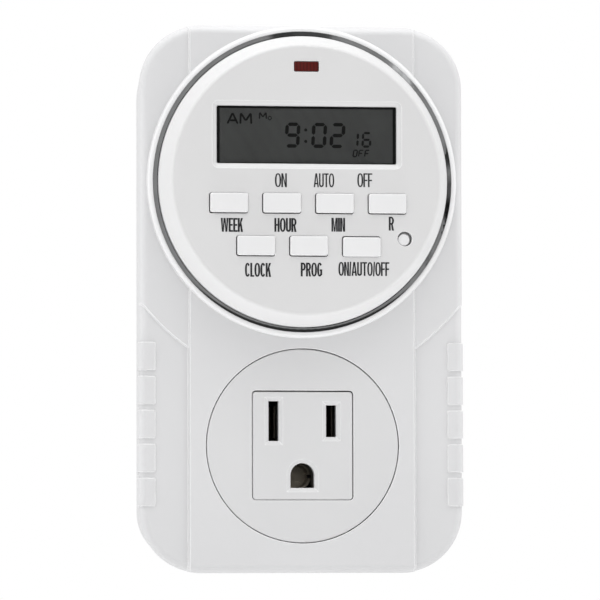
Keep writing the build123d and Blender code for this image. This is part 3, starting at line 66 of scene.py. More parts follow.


class Shader:
    """A Principled material with short calls for its procedural detail."""

    def __init__(self, name, color, roughness, metallic=0.0, coat=0.0, ior=1.46):
        self.material = bpy.data.materials.new(name)
        self.material.use_nodes = True
        self.material.diffuse_color = (*color, 1.0)
        self.tree = self.material.node_tree
        self.shader = self.tree.nodes["Principled BSDF"]
        self.output = self.tree.nodes["Material Output"]
        self.color = color
        self.roughness = roughness
        self.shader.inputs["Base Color"].default_value = (*color, 1.0)
        self.shader.inputs["Roughness"].default_value = roughness
        self.shader.inputs["Metallic"].default_value = metallic
        self.shader.inputs["Coat Weight"].default_value = coat
        self.shader.inputs["IOR"].default_value = ior
        self.place = self.node("ShaderNodeTexCoord").outputs["Object"]

    def node(self, kind, **settings):
        made = self.tree.nodes.new(kind)
        for key, value in settings.items():
            setattr(made, key, value)
        return made

    def link(self, source, target):
        self.tree.links.new(source, target)

    def noise(self, scale, detail=3.0, stretch=None, rough=0.5):
        """Noise whose scale is in features per metre."""
        made = self.node("ShaderNodeTexNoise")
        made.inputs["Scale"].default_value = scale
        made.inputs["Detail"].default_value = detail
        made.inputs["Roughness"].default_value = rough
        source = self.place
        if stretch:
            mapping = self.node("ShaderNodeMapping")
            mapping.inputs["Scale"].default_value = stretch
            self.link(source, mapping.inputs["Vector"])
            source = mapping.outputs["Vector"]
        self.link(source, made.inputs["Vector"])
        return made.outputs["Fac"]

    def span(self, value, low, high, start=0.35, end=0.65):
        """The value between start and end, where most noise lies, spread from low to high."""
        made = self.node("ShaderNodeMapRange")
        made.inputs["From Min"].default_value = start
        made.inputs["From Max"].default_value = end
        made.inputs["To Min"].default_value = low
        made.inputs["To Max"].default_value = high
        self.link(value, made.inputs["Value"])
        return made.outputs["Result"]

    def tint(self, value, low, high):
        """Base colour between two shares of the material's colour."""
        mix = self.node("ShaderNodeMix", data_type="RGBA")
        mix.inputs["A"].default_value = (*[c * low for c in self.color], 1.0)
        mix.inputs["B"].default_value = (*[min(c * high, 1.0) for c in self.color], 1.0)
        self.link(value, mix.inputs["Factor"])
        self.link(mix.outputs["Result"], self.shader.inputs["Base Color"])
        return mix.outputs["Result"]

    def vary_roughness(self, value, spread, start=0.35, end=0.65):
        low, high = self.roughness - spread, self.roughness + spread
        out = self.span(value, low, high, start, end)
        self.link(out, self.shader.inputs["Roughness"])

    def edge(self, radius):
        """How near an edge a point is, within a radius in metres, and its rounded normal."""
        rounded = self.node("ShaderNodeBevel", samples=6)
        rounded.inputs["Radius"].default_value = radius
        flat = self.node("ShaderNodeNewGeometry")
        alike = self.node("ShaderNodeVectorMath", operation="DOT_PRODUCT")
        self.link(rounded.outputs["Normal"], alike.inputs[0])
        self.link(flat.outputs["Normal"], alike.inputs[1])
        return self.span(alike.outputs["Value"], 1.0, 0.0, 0.9, 0.992), rounded.outputs["Normal"]

    def brighten(self, base, value, color):
        """Base colour that goes towards a colour where the value is high."""
        mix = self.node("ShaderNodeMix", data_type="RGBA")
        mix.inputs["B"].default_value = (*color, 1.0)
        self.link(base, mix.inputs["A"])
        self.link(value, mix.inputs["Factor"])
        self.link(mix.outputs["Result"], self.shader.inputs["Base Color"])

    def lighten(self, low, high, color):
        """Base colour that leaves its own at Y low and is another at Y high, in metres."""
        place = self.node("ShaderNodeSeparateXYZ")
        self.link(self.place, place.inputs[0])
        base = self.shader.inputs["Base Color"].links[0].from_socket
        self.brighten(base, self.span(place.outputs["Y"], 0.0, 1.0, low, high), color)

    def bump(self, value, height, strength=1.0, before=None):
        """Relief with its height in metres."""
        made = self.node("ShaderNodeBump")
        made.inputs["Strength"].default_value = strength
        made.inputs["Distance"].default_value = height
        self.link(value, made.inputs["Height"])
        if before is not None:
            self.link(before, made.inputs["Normal"])
        self.link(made.outputs["Normal"], self.shader.inputs["Normal"])
        return made.outputs["Normal"]


def moulded(name, color, roughness, grain=2600.0, height=6e-6, coat=0.0, edge=0.0, rub=0.05):
    """Moulded plastic: fine spark-eroded grain, faint flow clouds, handling marks.

    The grain has a scale and a height in metres, and rub is how far handling changes the
    roughness. With an edge radius the edges are a little rounded and get a painted highlight.
    """
    made = Shader(name, color, roughness, coat=coat)
    clouds = made.noise(38.0, 2.0, (1.0, 1.0, 0.6))
    base = made.tint(made.span(clouds, 0.0, 1.0), 0.985, 1.012)
    marks = made.noise(300.0, 4.0, None, 0.6)
    made.vary_roughness(marks, rub)
    fine = made.noise(grain, 2.0)
    sink = made.noise(55.0, 1.0)
    rounded = None
    if edge:
        # Painted highlight: the base colour turns near white close to every edge
        edge_highlight, rounded = made.edge(edge)
        made.brighten(base, edge_highlight, EDGE_HIGHLIGHT_WHITE)
    made.bump(fine, height, before=made.bump(sink, 2.5e-5, before=rounded))
    return made


def plated(name, color, roughness, stretch, scratch=1.5e-6, spread=0.08):
    """Plated or rolled metal with fine drawn lines."""
    made = Shader(name, color, roughness, metallic=1.0)
    lines = made.noise(900.0, 3.0, stretch, 0.6)
    made.vary_roughness(lines, spread)
    stain = made.noise(240.0, 3.0)
    made.tint(made.span(stain, 0.0, 1.0), 0.9, 1.06)
    made.bump(lines, scratch)
    return made


def circuit():
    """Green solder mask over copper tracks, with pale pads."""
    made = Shader("circuit_board", (0.03, 0.16, 0.07), 0.35, coat=0.3)
    tracks = made.node("ShaderNodeTexBrick")
    tracks.inputs["Scale"].default_value = 320.0
    tracks.inputs["Mortar Size"].default_value = 0.06
    tracks.inputs["Color1"].default_value = (0.03, 0.16, 0.07, 1)
    tracks.inputs["Color2"].default_value = (0.035, 0.19, 0.085, 1)
    tracks.inputs["Mortar"].default_value = (0.08, 0.27, 0.12, 1)
    turned = made.node("ShaderNodeMapping")
    turned.inputs["Rotation"].default_value = (math.pi / 2, 0, 0)
    made.link(made.place, turned.inputs["Vector"])
    made.link(turned.outputs["Vector"], tracks.inputs["Vector"])
    made.link(tracks.outputs["Color"], made.shader.inputs["Base Color"])
    made.vary_roughness(made.noise(300.0), 0.06)
    made.bump(tracks.outputs["Fac"], 1.5e-5)
    return made


def wound_copper():
    """Enamelled wire wound round the relay's bobbin."""
    made = Shader("coil_copper", (0.62, 0.26, 0.1), 0.3, metallic=1.0)
    turns = made.node("ShaderNodeTexWave", bands_direction="Y")
    turns.inputs["Scale"].default_value = 900.0
    made.link(made.place, turns.inputs["Vector"])
    made.tint(turns.outputs["Fac"], 0.55, 1.1)
    made.bump(turns.outputs["Fac"], 6e-5)
    made.vary_roughness(made.noise(500.0), 0.08)
    return made


def window_glass():
    """Clear window: sees through, with a fresnel sheen and faint wipe marks."""
    made = Shader("clear_window", (1.0, 1.0, 1.0), 0.06, ior=1.49)
    clear = made.node("ShaderNodeBsdfTransparent")
    clear.inputs["Color"].default_value = (0.9, 0.91, 0.9, 1)
    gloss = made.node("ShaderNodeBsdfGlossy")
    sheen = made.node("ShaderNodeFresnel")
    sheen.inputs["IOR"].default_value = 1.3
    mix = made.node("ShaderNodeMixShader")
    wipe = made.span(made.noise(260.0, 4.0, (1.0, 1.0, 0.3)), 0.04, 0.12)
    made.link(wipe, gloss.inputs["Roughness"])
    made.link(sheen.outputs["Fac"], mix.inputs["Fac"])
    made.link(clear.outputs["BSDF"], mix.inputs[1])
    made.link(gloss.outputs["BSDF"], mix.inputs[2])
    made.link(mix.outputs["Shader"], made.output.inputs["Surface"])
    return made


def red_plastic():
    """Dark red lens with fine upright ribs in its moulding."""
    made = Shader("red_lens", (0.066, 0.004, 0.003), 0.4, coat=0.05, ior=1.3)
    ribs = made.node("ShaderNodeTexWave", bands_direction="X")
    ribs.inputs["Scale"].default_value = 420.0
    ribs.inputs["Distortion"].default_value = 1.5
    made.link(made.place, ribs.inputs["Vector"])
    made.tint(ribs.outputs["Fac"], 0.8, 1.35)
    made.bump(ribs.outputs["Fac"], 2e-5)
    made.vary_roughness(made.noise(600.0), 0.08)
    return made


def panel_glass():
    """Dark liquid crystal panel with a very fine cell structure."""
    made = Shader("display_glass", (0.12, 0.12, 0.122), 0.32, ior=1.3)
    fine = made.noise(3000.0, 2.0)
    cloud = made.noise(60.0, 2.0)
    made.tint(made.span(cloud, 0.0, 1.0), 0.93, 1.07)
    made.vary_roughness(cloud, 0.05)
    made.bump(fine, 3e-6)
    return made


MATERIALS = {
    "white_casing": moulded("white_casing", (0.625, 0.625, 0.632), 0.42, edge=EDGE),
    "white_dial": moulded("white_dial", (0.615, 0.613, 0.615), 0.34, 3200.0, 3e-6, edge=EDGE),
    "white_outlet": moulded("white_outlet", (0.612, 0.612, 0.617), 0.36, 3200.0, 3e-6, edge=EDGE),
    "white_plug_block": moulded("white_plug_block", (0.70, 0.70, 0.69), 0.46, edge=EDGE),
    "white_keys": moulded("white_keys", (0.71, 0.71, 0.715), 0.3, 3600.0, 2e-6, edge=EDGE, rub=0.015),
    "bright_ring": plated("bright_ring", (0.475, 0.48, 0.485), 0.045, (1.0, 1.0, 1.0), spread=0.015),
    "clear_window": window_glass(),
    "display_glass": panel_glass(),
    "red_lens": red_plastic(),
    "inner_plastic": moulded("inner_plastic", (0.55, 0.55, 0.53), 0.5),
    "black_plastic": moulded("black_plastic", (0.07, 0.068, 0.066), 0.42),
    "contact_rubber": moulded("contact_rubber", (0.35, 0.25, 0.3), 0.7),
    "circuit_board": circuit(),
    "screw_steel": plated("screw_steel", (0.56, 0.56, 0.57), 0.28, (1.0, 0.2, 1.0)),
    "battery_can": plated("battery_can", (0.2, 0.32, 0.2), 0.35, (1.0, 1.0, 0.2)),
    "contact_brass": plated("contact_brass", (0.3, 0.27, 0.22), 0.35, (1.0, 0.15, 1.0)),
    "prong_metal": plated("prong_metal", (0.66, 0.63, 0.56), 0.24, (1.0, 0.12, 1.0)),
    "relay_plastic": moulded("relay_plastic", (0.05, 0.12, 0.3), 0.4),
    "coil_copper": wound_copper(),
    "armature_steel": plated("armature_steel", (0.5, 0.5, 0.5), 0.35, (0.2, 1.0, 1.0)),
    "capacitor_plastic": moulded("capacitor_plastic", (0.55, 0.4, 0.06), 0.38),
    "board_part_lacquer": moulded("board_part_lacquer", (0.05, 0.07, 0.12), 0.3),
    "lamp_plastic": moulded("lamp_plastic", (0.5, 0.06, 0.04), 0.2),
    "wire_grey": moulded("wire_grey", (0.4, 0.4, 0.41), 0.5),
    "wire_black": moulded("wire_black", (0.02, 0.02, 0.02), 0.45),
    "wire_red": moulded("wire_red", (0.45, 0.03, 0.025), 0.45),
    "wire_white": moulded("wire_white", (0.7, 0.7, 0.68), 0.45),
}
# The flat faces are textured. The collar in front of the band and the slopes behind the dial's
# face have a painted highlight: their base colour is lighter, as if they caught more light.
COLLAR_HIGHLIGHT_WHITE, SLOPE_HIGHLIGHT_WHITE = (0.76, 0.76, 0.765), (0.66, 0.66, 0.662)
MATERIALS["white_casing"].lighten((FRONT - 0.05) * MM, (FRONT - 0.4) * MM, COLLAR_HIGHLIGHT_WHITE)
MATERIALS["white_dial"].lighten((DIAL_Y + 0.1) * MM, (DIAL_Y + 0.5) * MM, SLOPE_HIGHLIGHT_WHITE)

ink = Shader("legend_ink", (0.018, 0.018, 0.02), 0.5, ior=1.3)
ink.tint(ink.span(ink.noise(2500.0, 3.0), 0.0, 1.0), 0.8, 1.5)
ink.vary_roughness(ink.noise(900.0), 0.08)
ink.bump(ink.noise(5000.0), 3e-6)

liquid = Shader("display_segment", (0.006, 0.006, 0.006), 0.5, ior=1.15)
liquid.tint(liquid.span(liquid.noise(900.0), 0.0, 1.0), 0.85, 1.2)
liquid.vary_roughness(liquid.noise(1500.0), 0.05)

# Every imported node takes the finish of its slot
for part in nodes.values():
    for place in part.material_slots:
        slot_name = place.material.name.split(".")[0]
        place.material = MATERIALS[slot_name].material


# Mesh helpers


def piece(name, verts, faces, shader, slot, body="case", smooth=False):
    """A new mesh piece that rides on a body."""
    mesh = bpy.data.meshes.new(name)
    mesh.from_pydata(verts, [], faces)
    mesh.materials.append(shader.material)
    mesh.update()
    if smooth:
        mesh.shade_smooth()
    made = bpy.data.objects.new(name, mesh)
    scene.collection.objects.link(made)
    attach(made, body)
    return made


def raised(shapes, base_y, top_y):
    """Vertices and faces of flat shapes raised from one Y to another.

    A shape is a list of loops of (x, z) in millimetres, the first one outside.
    """
    verts, faces = [], []
    for loops in shapes:
        flat = [[Vector((x, z, 0)) for x, z in loop] for loop in loops]
        count = sum(len(loop) for loop in loops)
        start = len(verts)
        for y in (base_y, top_y):
            for loop in loops:
                verts += [(x * MM, y * MM, z * MM) for x, z in loop]
        for a, b, c in tessellate_polygon(flat):
            top = [start + count + n for n in (a, b, c)]
            low = [start + n for n in (c, b, a)]
            (ax, _, az), (bx, _, bz), (cx, _, cz) = (verts[n] for n in top)
            turn = (bx - ax) * (cz - az) - (cx - ax) * (bz - az)
            faces += [top, low] if turn > 0 else [top[::-1], low[::-1]]
        first = start
        for loop in loops:
            size = len(loop)
            area = sum(
                loop[n - 1][0] * loop[n][1] - loop[n][0] * loop[n - 1][1]
                for n in range(size)
            )
            outward = area > 0 if loop is loops[0] else area < 0
            for n in range(size):
                m = (n + 1) % size
                side = [first + n, first + m, first + m + count, first + n + count]
                faces.append(side if outward else side[::-1])
            first += size
    return verts, faces


OVAL_POWER = 0.82  # 1 is an ellipse, less is squarer


def arc(cx, cz, rx, rz, start, end, steps=8):
    """Points of an arc, with its angles in degrees."""
    turn = [math.radians(start + (end - start) * n / steps) for n in range(steps + 1)]
    return [(cx + rx * math.cos(a), cz + rz * math.sin(a)) for a in turn]


def oval(w, inset, start, end, steps=28):
    """Squarish oval of a letter of width w and height 1, with its angles in degrees."""
    rx, rz = w / 2 - inset, 0.5 - 0.8 * inset
    points = []
    for n in range(steps + 1):
        a = math.radians(start + (end - start) * n / steps)
        x, z = (math.copysign(abs(v) ** OVAL_POWER, v) for v in (math.cos(a), math.sin(a)))
        points.append((w / 2 + rx * x, 0.5 + rz * z))
    return points


# Narrow capitals: each function takes a width and a stroke, and gives the loops of its letter at
# height 1, the outside first

LEVEL = 0.8  # thickness of a level stroke as a share of an upright one


def round_bowl(w, t, low):
    """Loops of the bowl that P and R share: its outer arc and its hole."""
    middle, half = (1 + low) / 2, (1 - low) / 2
    outer = arc(0.5 * w, middle, 0.5 * w, half, -90, 90)
    inner = arc(0.5 * w, middle, 0.5 * w - t, half - 0.85 * t, -90, 90)
    hole = [(t, low + 0.85 * t), *inner, (t, 1 - 0.85 * t)]
    return outer, hole


def letter_a(w, t):
    half, top = w / 2, 0.8
    low, up = 0.21, 0.21 + LEVEL * t

    def inside(z):
        """Inner edge of the left stroke at a height."""
        return t + (half - t) * z / top

    return [
        [(0, 0), (t, 0), (inside(low), low), (w - inside(low), low), (w - t, 0), (w, 0)]
        + [(half + 0.56 * t, 1), (half - 0.56 * t, 1)],
        [(inside(up), up), (w - inside(up), up), (half, top)],
    ]


def letter_c(w, t):
    return [[*oval(w, 0, 38, 322), *oval(w, t, 322, 38)]]


def letter_e(w, t):
    h = LEVEL * t
    low, up, middle = 0.5 - h / 2, 0.5 + h / 2, 0.93 * w
    return [
        [(0, 0), (w, 0), (w, h), (t, h), (t, low), (middle, low), (middle, up)]
        + [(t, up), (t, 1 - h), (w, 1 - h), (w, 1), (0, 1)]
    ]


def letter_f(w, t):
    h = LEVEL * t
    low, middle = 0.44, 0.92 * w
    return [
        [(0, 0), (t, 0), (t, low), (middle, low), (middle, low + h)]
        + [(t, low + h), (t, 1 - h), (w, 1 - h), (w, 1), (0, 1)]
    ]


def letter_g(w, t):
    bar, left = 0.52, 0.52 * w
    low = bar - LEVEL * t
    spur = [(w, 0.14), (w, bar), (left, bar), (left, low), (w - t, low), (w - t, 0.2)]
    return [[*oval(w, 0, 38, 300), *spur, *oval(w, t, 310, 38)]]


def letter_h(w, t):
    low, up = 0.5 - LEVEL * t / 2, 0.5 + LEVEL * t / 2
    return [
        [(0, 0), (t, 0), (t, low), (w - t, low), (w - t, 0), (w, 0), (w, 1)]
        + [(w - t, 1), (w - t, up), (t, up), (t, 1), (0, 1)]
    ]


def letter_i(w, t):
    return [[(0, 0), (t, 0), (t, 1), (0, 1)]]


def letter_k(w, t):
    def rise(x):
        """Height of the upper arm's lower edge at a distance from the left."""
        return 0.32 + 0.68 * (x - t) / (w - t)

    near, far, foot = 0.48 * w, 0.7 * w, w - 1.12 * t
    return [
        [(0, 0), (t, 0), (t, 0.32), (near, rise(near)), (foot, 0), (w, 0)]
        + [(far, rise(far)), (w, 1), (foot, 1), (t, 0.56), (t, 1), (0, 1)]
    ]


def letter_l(w, t):
    h = LEVEL * t
    return [[(0, 0), (w, 0), (w, h), (t, h), (t, 1), (0, 1)]]


def letter_m(w, t):
    s, half = 0.92 * t, w / 2
    return [
        [(0, 0), (s, 0), (s, 0.76), (half - 0.06, 0), (half + 0.06, 0), (w - s, 0.76), (w - s, 0)]
        + [(w, 0), (w, 1), (w - 1.3 * s, 1), (half, 0.26), (1.3 * s, 1), (0, 1)]
    ]


def letter_n(w, t):
    return [
        [(0, 0), (t, 0), (t, 0.7), (w - 1.1 * t, 0), (w, 0), (w, 1), (w - t, 1)]
        + [(w - t, 0.3), (1.1 * t, 1), (0, 1)]
    ]


def letter_o(w, t):
    return [oval(w, 0, 0, 348), oval(w, t, 0, 348)]


def letter_p(w, t):
    outer, hole = round_bowl(w, t, 0.42)
    return [[(0, 0), (t, 0), (t, 0.42), *outer, (0, 1)], hole]


def letter_r(w, t):
    outer, hole = round_bowl(w, t, 0.43)
    leg = [(0.45 * w, 0.43), (w - 1.1 * t, 0), (w, 0), (0.74 * w, 0.46)]
    return [[(0, 0), (t, 0), (t, 0.43), *leg, *outer[2:], (0, 1)], hole]


def letter_t(w, t):
    left, right, under = (w - t) / 2, (w + t) / 2, 1 - LEVEL * t
    return [
        [(left, 0), (right, 0), (right, under), (w, under), (w, 1), (0, 1), (0, under)]
        + [(left, under)]
    ]


def letter_u(w, t):
    r = w / 2
    outer = [(0, 1), *arc(r, r, r, r, 180, 360), (w, 1)]
    inner = [(w - t, 1), *arc(r, r, r - t, r - t, 360, 180), (t, 1)]
    return [outer + inner]


def letter_w(w, t):
    s = 0.95 * t
    left, right, half = 0.27 * w, 0.73 * w, w / 2
    return [
        [(0, 1), (left - s / 2, 0), (left + s / 2, 0), (half, 0.7), (right - s / 2, 0)]
        + [(right + s / 2, 0), (w, 1), (w - s, 1), (right, 0.27), (half + s / 2, 1)]
        + [(half - s / 2, 1), (left, 0.27), (s, 1)]
    ]


def slash(w, t):
    thick = 0.8 * t
    return [[(0, -0.02), (thick, -0.02), (w, 1.02), (w - thick, 1.02)]]


# Width and drawing of each letter, with I as wide as its stroke
LETTERS = {
    "A": (0.43, letter_a),
    "C": (0.39, letter_c),
    "E": (0.34, letter_e),
    "F": (0.33, letter_f),
    "G": (0.39, letter_g),
    "H": (0.39, letter_h),
    "I": (None, letter_i),
    "K": (0.41, letter_k),
    "L": (0.3, letter_l),
    "M": (0.5, letter_m),
    "N": (0.39, letter_n),
    "O": (0.44, letter_o),
    "P": (0.39, letter_p),
    "R": (0.39, letter_r),
    "T": (0.39, letter_t),
    "U": (0.39, letter_u),
    "W": (0.6, letter_w),
    "/": (0.17, slash),
}
LETTER_GAP = 0.02  # between two letters, as a share of their height


def word(text, centre, width, height, stroke):
    """Shapes of a word fitted to a width, in millimetres about a centre."""
    thick = stroke / height
    cursor, shapes = 0.0, []
    for letter in text:
        w, draw = LETTERS[letter]
        w = w or thick
        shapes.append([[(x + cursor, z) for x, z in loop] for loop in draw(w, thick)])
        cursor += w + LETTER_GAP
    scale = width / (cursor - LETTER_GAP)
    left, low = centre[0] - width / 2, centre[1] - height / 2
    return [
        [[(left + x * scale, low + z * height) for x, z in loop] for loop in loops]
        for loops in shapes
    ]


# Printed legends on the dial: text, place of its centre from the dial's centre, width and
# stroke, in millimetres

LEGENDS = [
    ("ON", -5.75, -0.21, 2.6, 0.34),
    ("AUTO", 3.7, -0.15, 4.5, 0.35),
    ("OFF", 12.7, -0.06, 3.3, 0.35),
    ("WEEK", -16.5, -10.02, 4.85, 0.46),
    ("HOUR", -4.77, -9.95, 4.85, 0.44),
    ("MIN", 6.83, -9.82, 3.0, 0.44),
    ("R", 18.53, -9.5, 1.15, 0.42),
    ("CLOCK", -10.8, -19.75, 5.7, 0.44),
    ("PROG", 0.92, -19.62, 4.7, 0.44),
    ("ON/AUTO/OFF", 12.45, -19.42, 11.2, 0.4),
]
CAP_HEIGHT = 3.0
INK_ROOT, INK_HEIGHT = 0.01, 0.03  # how far the ink reaches into the dial and stands out

shapes = []
for text, x, z, width, stroke in LEGENDS:
    shapes += word(text, (x, DIAL_Z + z), width, CAP_HEIGHT, stroke)
piece(
    "dial_legends",
    *raised(shapes, DIAL_Y + INK_ROOT, DIAL_Y - INK_HEIGHT),
    ink,
    "black_plastic",
)


# Segments of the display


def segment(x0, z0, x1, z1, t):
    """One bar of thickness t with pointed ends."""
    length = math.hypot(x1 - x0, z1 - z0)
    # half a thickness along the bar
    ax, az = (x1 - x0) / length * t / 2, (z1 - z0) / length * t / 2
    return [
        [
            (x0, z0),
            (x0 + ax + az, z0 + az - ax),
            (x1 - ax + az, z1 - az - ax),
            (x1, z1),
            (x1 - ax - az, z1 - az + ax),
            (x0 + ax - az, z0 + az + ax),
        ]
    ]


DIGIT_SLANT = 0.06  # lean to the right for each millimetre of height
SEGMENT_GAP = 0.1  # from the end of a segment to the corner of the digit
# Lit segments of each digit: a to f clockwise from the top, g in the middle
DIGITS = {
    "0": "abcdef",
    "1": "bc",
    "2": "abged",
    "6": "afgedc",
    "9": "abcdfg",
}


def digit(which, left, low, width, height, t):
    """Seven-segment digit with its lower left corner at a place."""
    x0, x1 = left + t / 2, left + width - t / 2
    z0, z1, z2 = low + t / 2, low + height / 2, low + height - t / 2
    s = SEGMENT_GAP
    bars = {
        "a": (x0 + s, z2, x1 - s, z2),
        "b": (x1, z1 + s, x1, z2 - s),
        "c": (x1, z0 + s, x1, z1 - s),
        "d": (x0 + s, z0, x1 - s, z0),
        "e": (x0, z0 + s, x0, z1 - s),
        "f": (x0, z1 + s, x0, z2 - s),
        "g": (x0 + s, z1, x1 - s, z1),
    }
    return [
        [[(x + DIGIT_SLANT * (z - low), z) for x, z in loop] for loop in segment(*bars[b], t)]
        for b in DIGITS[which]
    ]


def dot(x, z, size):
    """Small round dot of the colon."""
    return [arc(x, z, size / 2, size / 2, 0, 330, 11)]


# Strokes of the display's thin letters, in a letter of width and height 1
THIN = {
    "A": [(0, 0, 0.5, 1), (0.5, 1, 1, 0), (0.2, 0.33, 0.8, 0.33)],
    "M": [(0, 0, 0.04, 1), (0.04, 1, 0.5, 0.3), (0.5, 0.3, 0.96, 1), (0.96, 1, 1, 0)],
    "O": [(0.1, 0, 0.8, 0), (0.8, 0, 1, 1), (1, 1, 0.3, 1), (0.3, 1, 0.1, 0)],
    "F": [(0, 0, 0.2, 1), (0.2, 1, 1, 1), (0.1, 0.5, 0.8, 0.5)],
    "o": [(0, 0.15, 0.15, 0), (0.15, 0, 0.85, 0), (0.85, 0, 1, 0.15), (1, 0.15, 1, 0.85)]
    + [(1, 0.85, 0.85, 1), (0.85, 1, 0.15, 1), (0.15, 1, 0, 0.85), (0, 0.85, 0, 0.15)],
}


def thin_letter(letter, left, low, width, height, t):
    """Letter of the display drawn with thin strokes."""
    return [
        segment(left + x0 * width, low + z0 * height, left + x1 * width, low + z1 * height, t)
        for x0, z0, x1, z1 in THIN[letter]
    ]


# Places from the panel's centre, in millimetres

DIGIT_ROWS = [
    # digits with their left edges, then lower edge, width, height and stroke
    ([("9", -4.78), ("0", 1.1), ("2", 5.15)], -2.7, 3.3, 5.5, 0.76),
    ([("1", 9.4), ("6", 12.2)], -2.55, 2.15, 3.45, 0.5),
]
COLON_X, COLON_HEIGHTS, COLON_SIZE = -0.03, (1.2, -1.3), 0.7
SMALL_PITCH = 1.33  # between the letters of the small OFF
THIN_LETTERS = [
    # letter, left edge, lower edge, width, height and stroke
    ("A", -17.25, 2.37, 2.3, 2.4, 0.42),
    ("M", -14.4, 2.37, 2.4, 2.4, 0.42),
    ("M", -10.2, 3.5, 1.5, 1.45, 0.3),
    ("o", -8.3, 3.35, 0.68, 0.72, 0.24),
    *((letter, 10.25 + SMALL_PITCH * n, -4.52, 1.1, 1.4, 0.28) for n, letter in enumerate("OFF")),
]
PRINT_ROOT, PRINT_HEIGHT = 0.01, 0.02  # how far a print reaches into the panel and stands out

lit = []
for digits, low, width, height, stroke in DIGIT_ROWS:
    for which, left in digits:
        lit += digit(which, PANEL_X + left, PANEL_Z + low, width, height, stroke)
for z in COLON_HEIGHTS:
    lit.append(dot(PANEL_X + COLON_X, PANEL_Z + z, COLON_SIZE))
for letter, left, low, width, height, stroke in THIN_LETTERS:
    lit += thin_letter(letter, PANEL_X + left, PANEL_Z + low, width, height, stroke)
piece(
    "display_segments",
    *raised(lit, PANEL_Y + PRINT_ROOT, PANEL_Y - PRINT_HEIGHT),
    liquid,
    "display_glass",
)


# Black border of the display: partly a printed mask, partly painted shade of the bezel's inner edge,
# wider on the left


def frame_loop(left, right, low, high):
    """Rectangle on the panel."""
    return [
        (PANEL_X + left, PANEL_Z + low),
        (PANEL_X + right, PANEL_Z + low),
        (PANEL_X + right, PANEL_Z + high),
        (PANEL_X + left, PANEL_Z + high),
    ]


# Left, right, lower and upper edge from the panel's centre
BORDER_OUTSIDE = (-20.9, 20.9, -7.4, 7.4)
BORDER_INSIDE = (-18.95, 19.15, -6.0, 5.85)

border = [frame_loop(*BORDER_OUTSIDE), frame_loop(*BORDER_INSIDE)]
black = Shader("display_border", (0.003, 0.003, 0.003), 0.5, ior=1.15)
black.vary_roughness(black.noise(700.0), 0.08)
black.bump(black.noise(2500.0), 2e-6)
piece(
    "display_border",
    *raised([border], PANEL_Y + PRINT_ROOT, PANEL_Y - PRINT_HEIGHT),
    black,
    "black_plastic",
)


# Camera at the photograph's angle

TARGET = Vector((-0.53, FRONT, 26.45)) * MM  # the point in the middle of the picture
AZIMUTH, ELEVATION = math.radians(-8.2), math.radians(-3.0)  # a little from the left and below
ROLL = math.radians(0.12)
DISTANCE = 1.2
FOCAL_LENGTH = 329.6  # in millimetres, on Blender's own sensor

aim = Vector(
    (
        math.sin(AZIMUTH) * math.cos(ELEVATION),
        -math.cos(AZIMUTH) * math.cos(ELEVATION),
        math.sin(ELEVATION),
    )
)
lens_camera = bpy.data.cameras.new("camera")
lens_camera.lens = FOCAL_LENGTH
lens_camera.clip_start = 0.05
lens_camera.clip_end = 20.0
camera = bpy.data.objects.new("camera", lens_camera)
camera.location = TARGET + aim * DISTANCE
roll = Quaternion((0, 0, 1), -ROLL)
camera.rotation_euler = ((-aim).to_track_quat("-Z", "Y") @ roll).to_euler()
scene.collection.objects.link(camera)
scene.camera = camera


# Soft studio light, with places in metres and power in watts


def softbox(name, place, target, size, power):
    """Area light, unseen by the camera, that shines from a place at a target."""
    lamp = bpy.data.lights.new(name, "AREA")
    lamp.shape = "RECTANGLE"
    lamp.size, lamp.size_y = size
    lamp.energy = power
    made = bpy.data.objects.new(name, lamp)
    made.location = place
    made.rotation_euler = (Vector(target) - Vector(place)).to_track_quat("-Z", "Y").to_euler()
    made.visible_camera = False
    scene.collection.objects.link(made)
    return made


MIDDLE = (0.0, -0.02, 0.03)  # the object's middle, which the big lights shine at
SIDE_SIZE = (0.5, 0.7)
softbox("top_light", (0.0, -0.2, 0.6), MIDDLE, (0.7, 0.4), 1.8)
softbox("left_light", (-0.8, -0.05, 0.15), MIDDLE, SIDE_SIZE, 0.7)
softbox("right_light", (0.8, -0.05, 0.15), MIDDLE, SIDE_SIZE, 0.35)
# A narrow beam that passes in front of the casing's lower edge and grazes the dial's lower slope
low_light = softbox("low_light", (0.0, -0.056, -0.097), (0.0, -0.044, 0.03), (0.3, 0.006), 0.008)
low_light.data.spread = math.radians(26)
low_light.visible_glossy = False


# The room: a world with its own brightness for each direction

world = bpy.data.worlds.new("studio")
scene.world = world
world.use_nodes = True
sky = world.node_tree
sky.nodes.clear()


def sky_node(kind, **settings):
    made = sky.nodes.new(kind)
    for key, value in settings.items():
        setattr(made, key, value)
    return made


def feed(socket, value):
    """Give a socket a number, or link it to another node's output."""
    if isinstance(value, float):
        socket.default_value = value
    else:
        sky.links.new(value, socket)


def sky_math(operation, *values):
    made = sky_node("ShaderNodeMath", operation=operation)
    for socket, value in zip(made.inputs, values):
        feed(socket, value)
    return made.outputs[0]


def sky_range(source, from_low, from_high, to_low, to_high):
    """The source between two values, spread smoothly between two others."""
    made = sky_node("ShaderNodeMapRange", interpolation_type="SMOOTHSTEP")
    feed(made.inputs["Value"], source)
    feed(made.inputs["From Min"], from_low)
    feed(made.inputs["From Max"], from_high)
    feed(made.inputs["To Min"], to_low)
    feed(made.inputs["To Max"], to_high)
    return made.outputs["Result"]


def sky_axes(vector):
    made = sky_node("ShaderNodeSeparateXYZ")
    feed(made.inputs[0], vector)
    return made.outputs


def background(strength):
    """White light of a strength."""
    made = sky_node("ShaderNodeBackground")
    made.inputs["Color"].default_value = (1, 1, 1, 1)
    feed(made.inputs["Strength"], strength)
    return made.outputs[0]


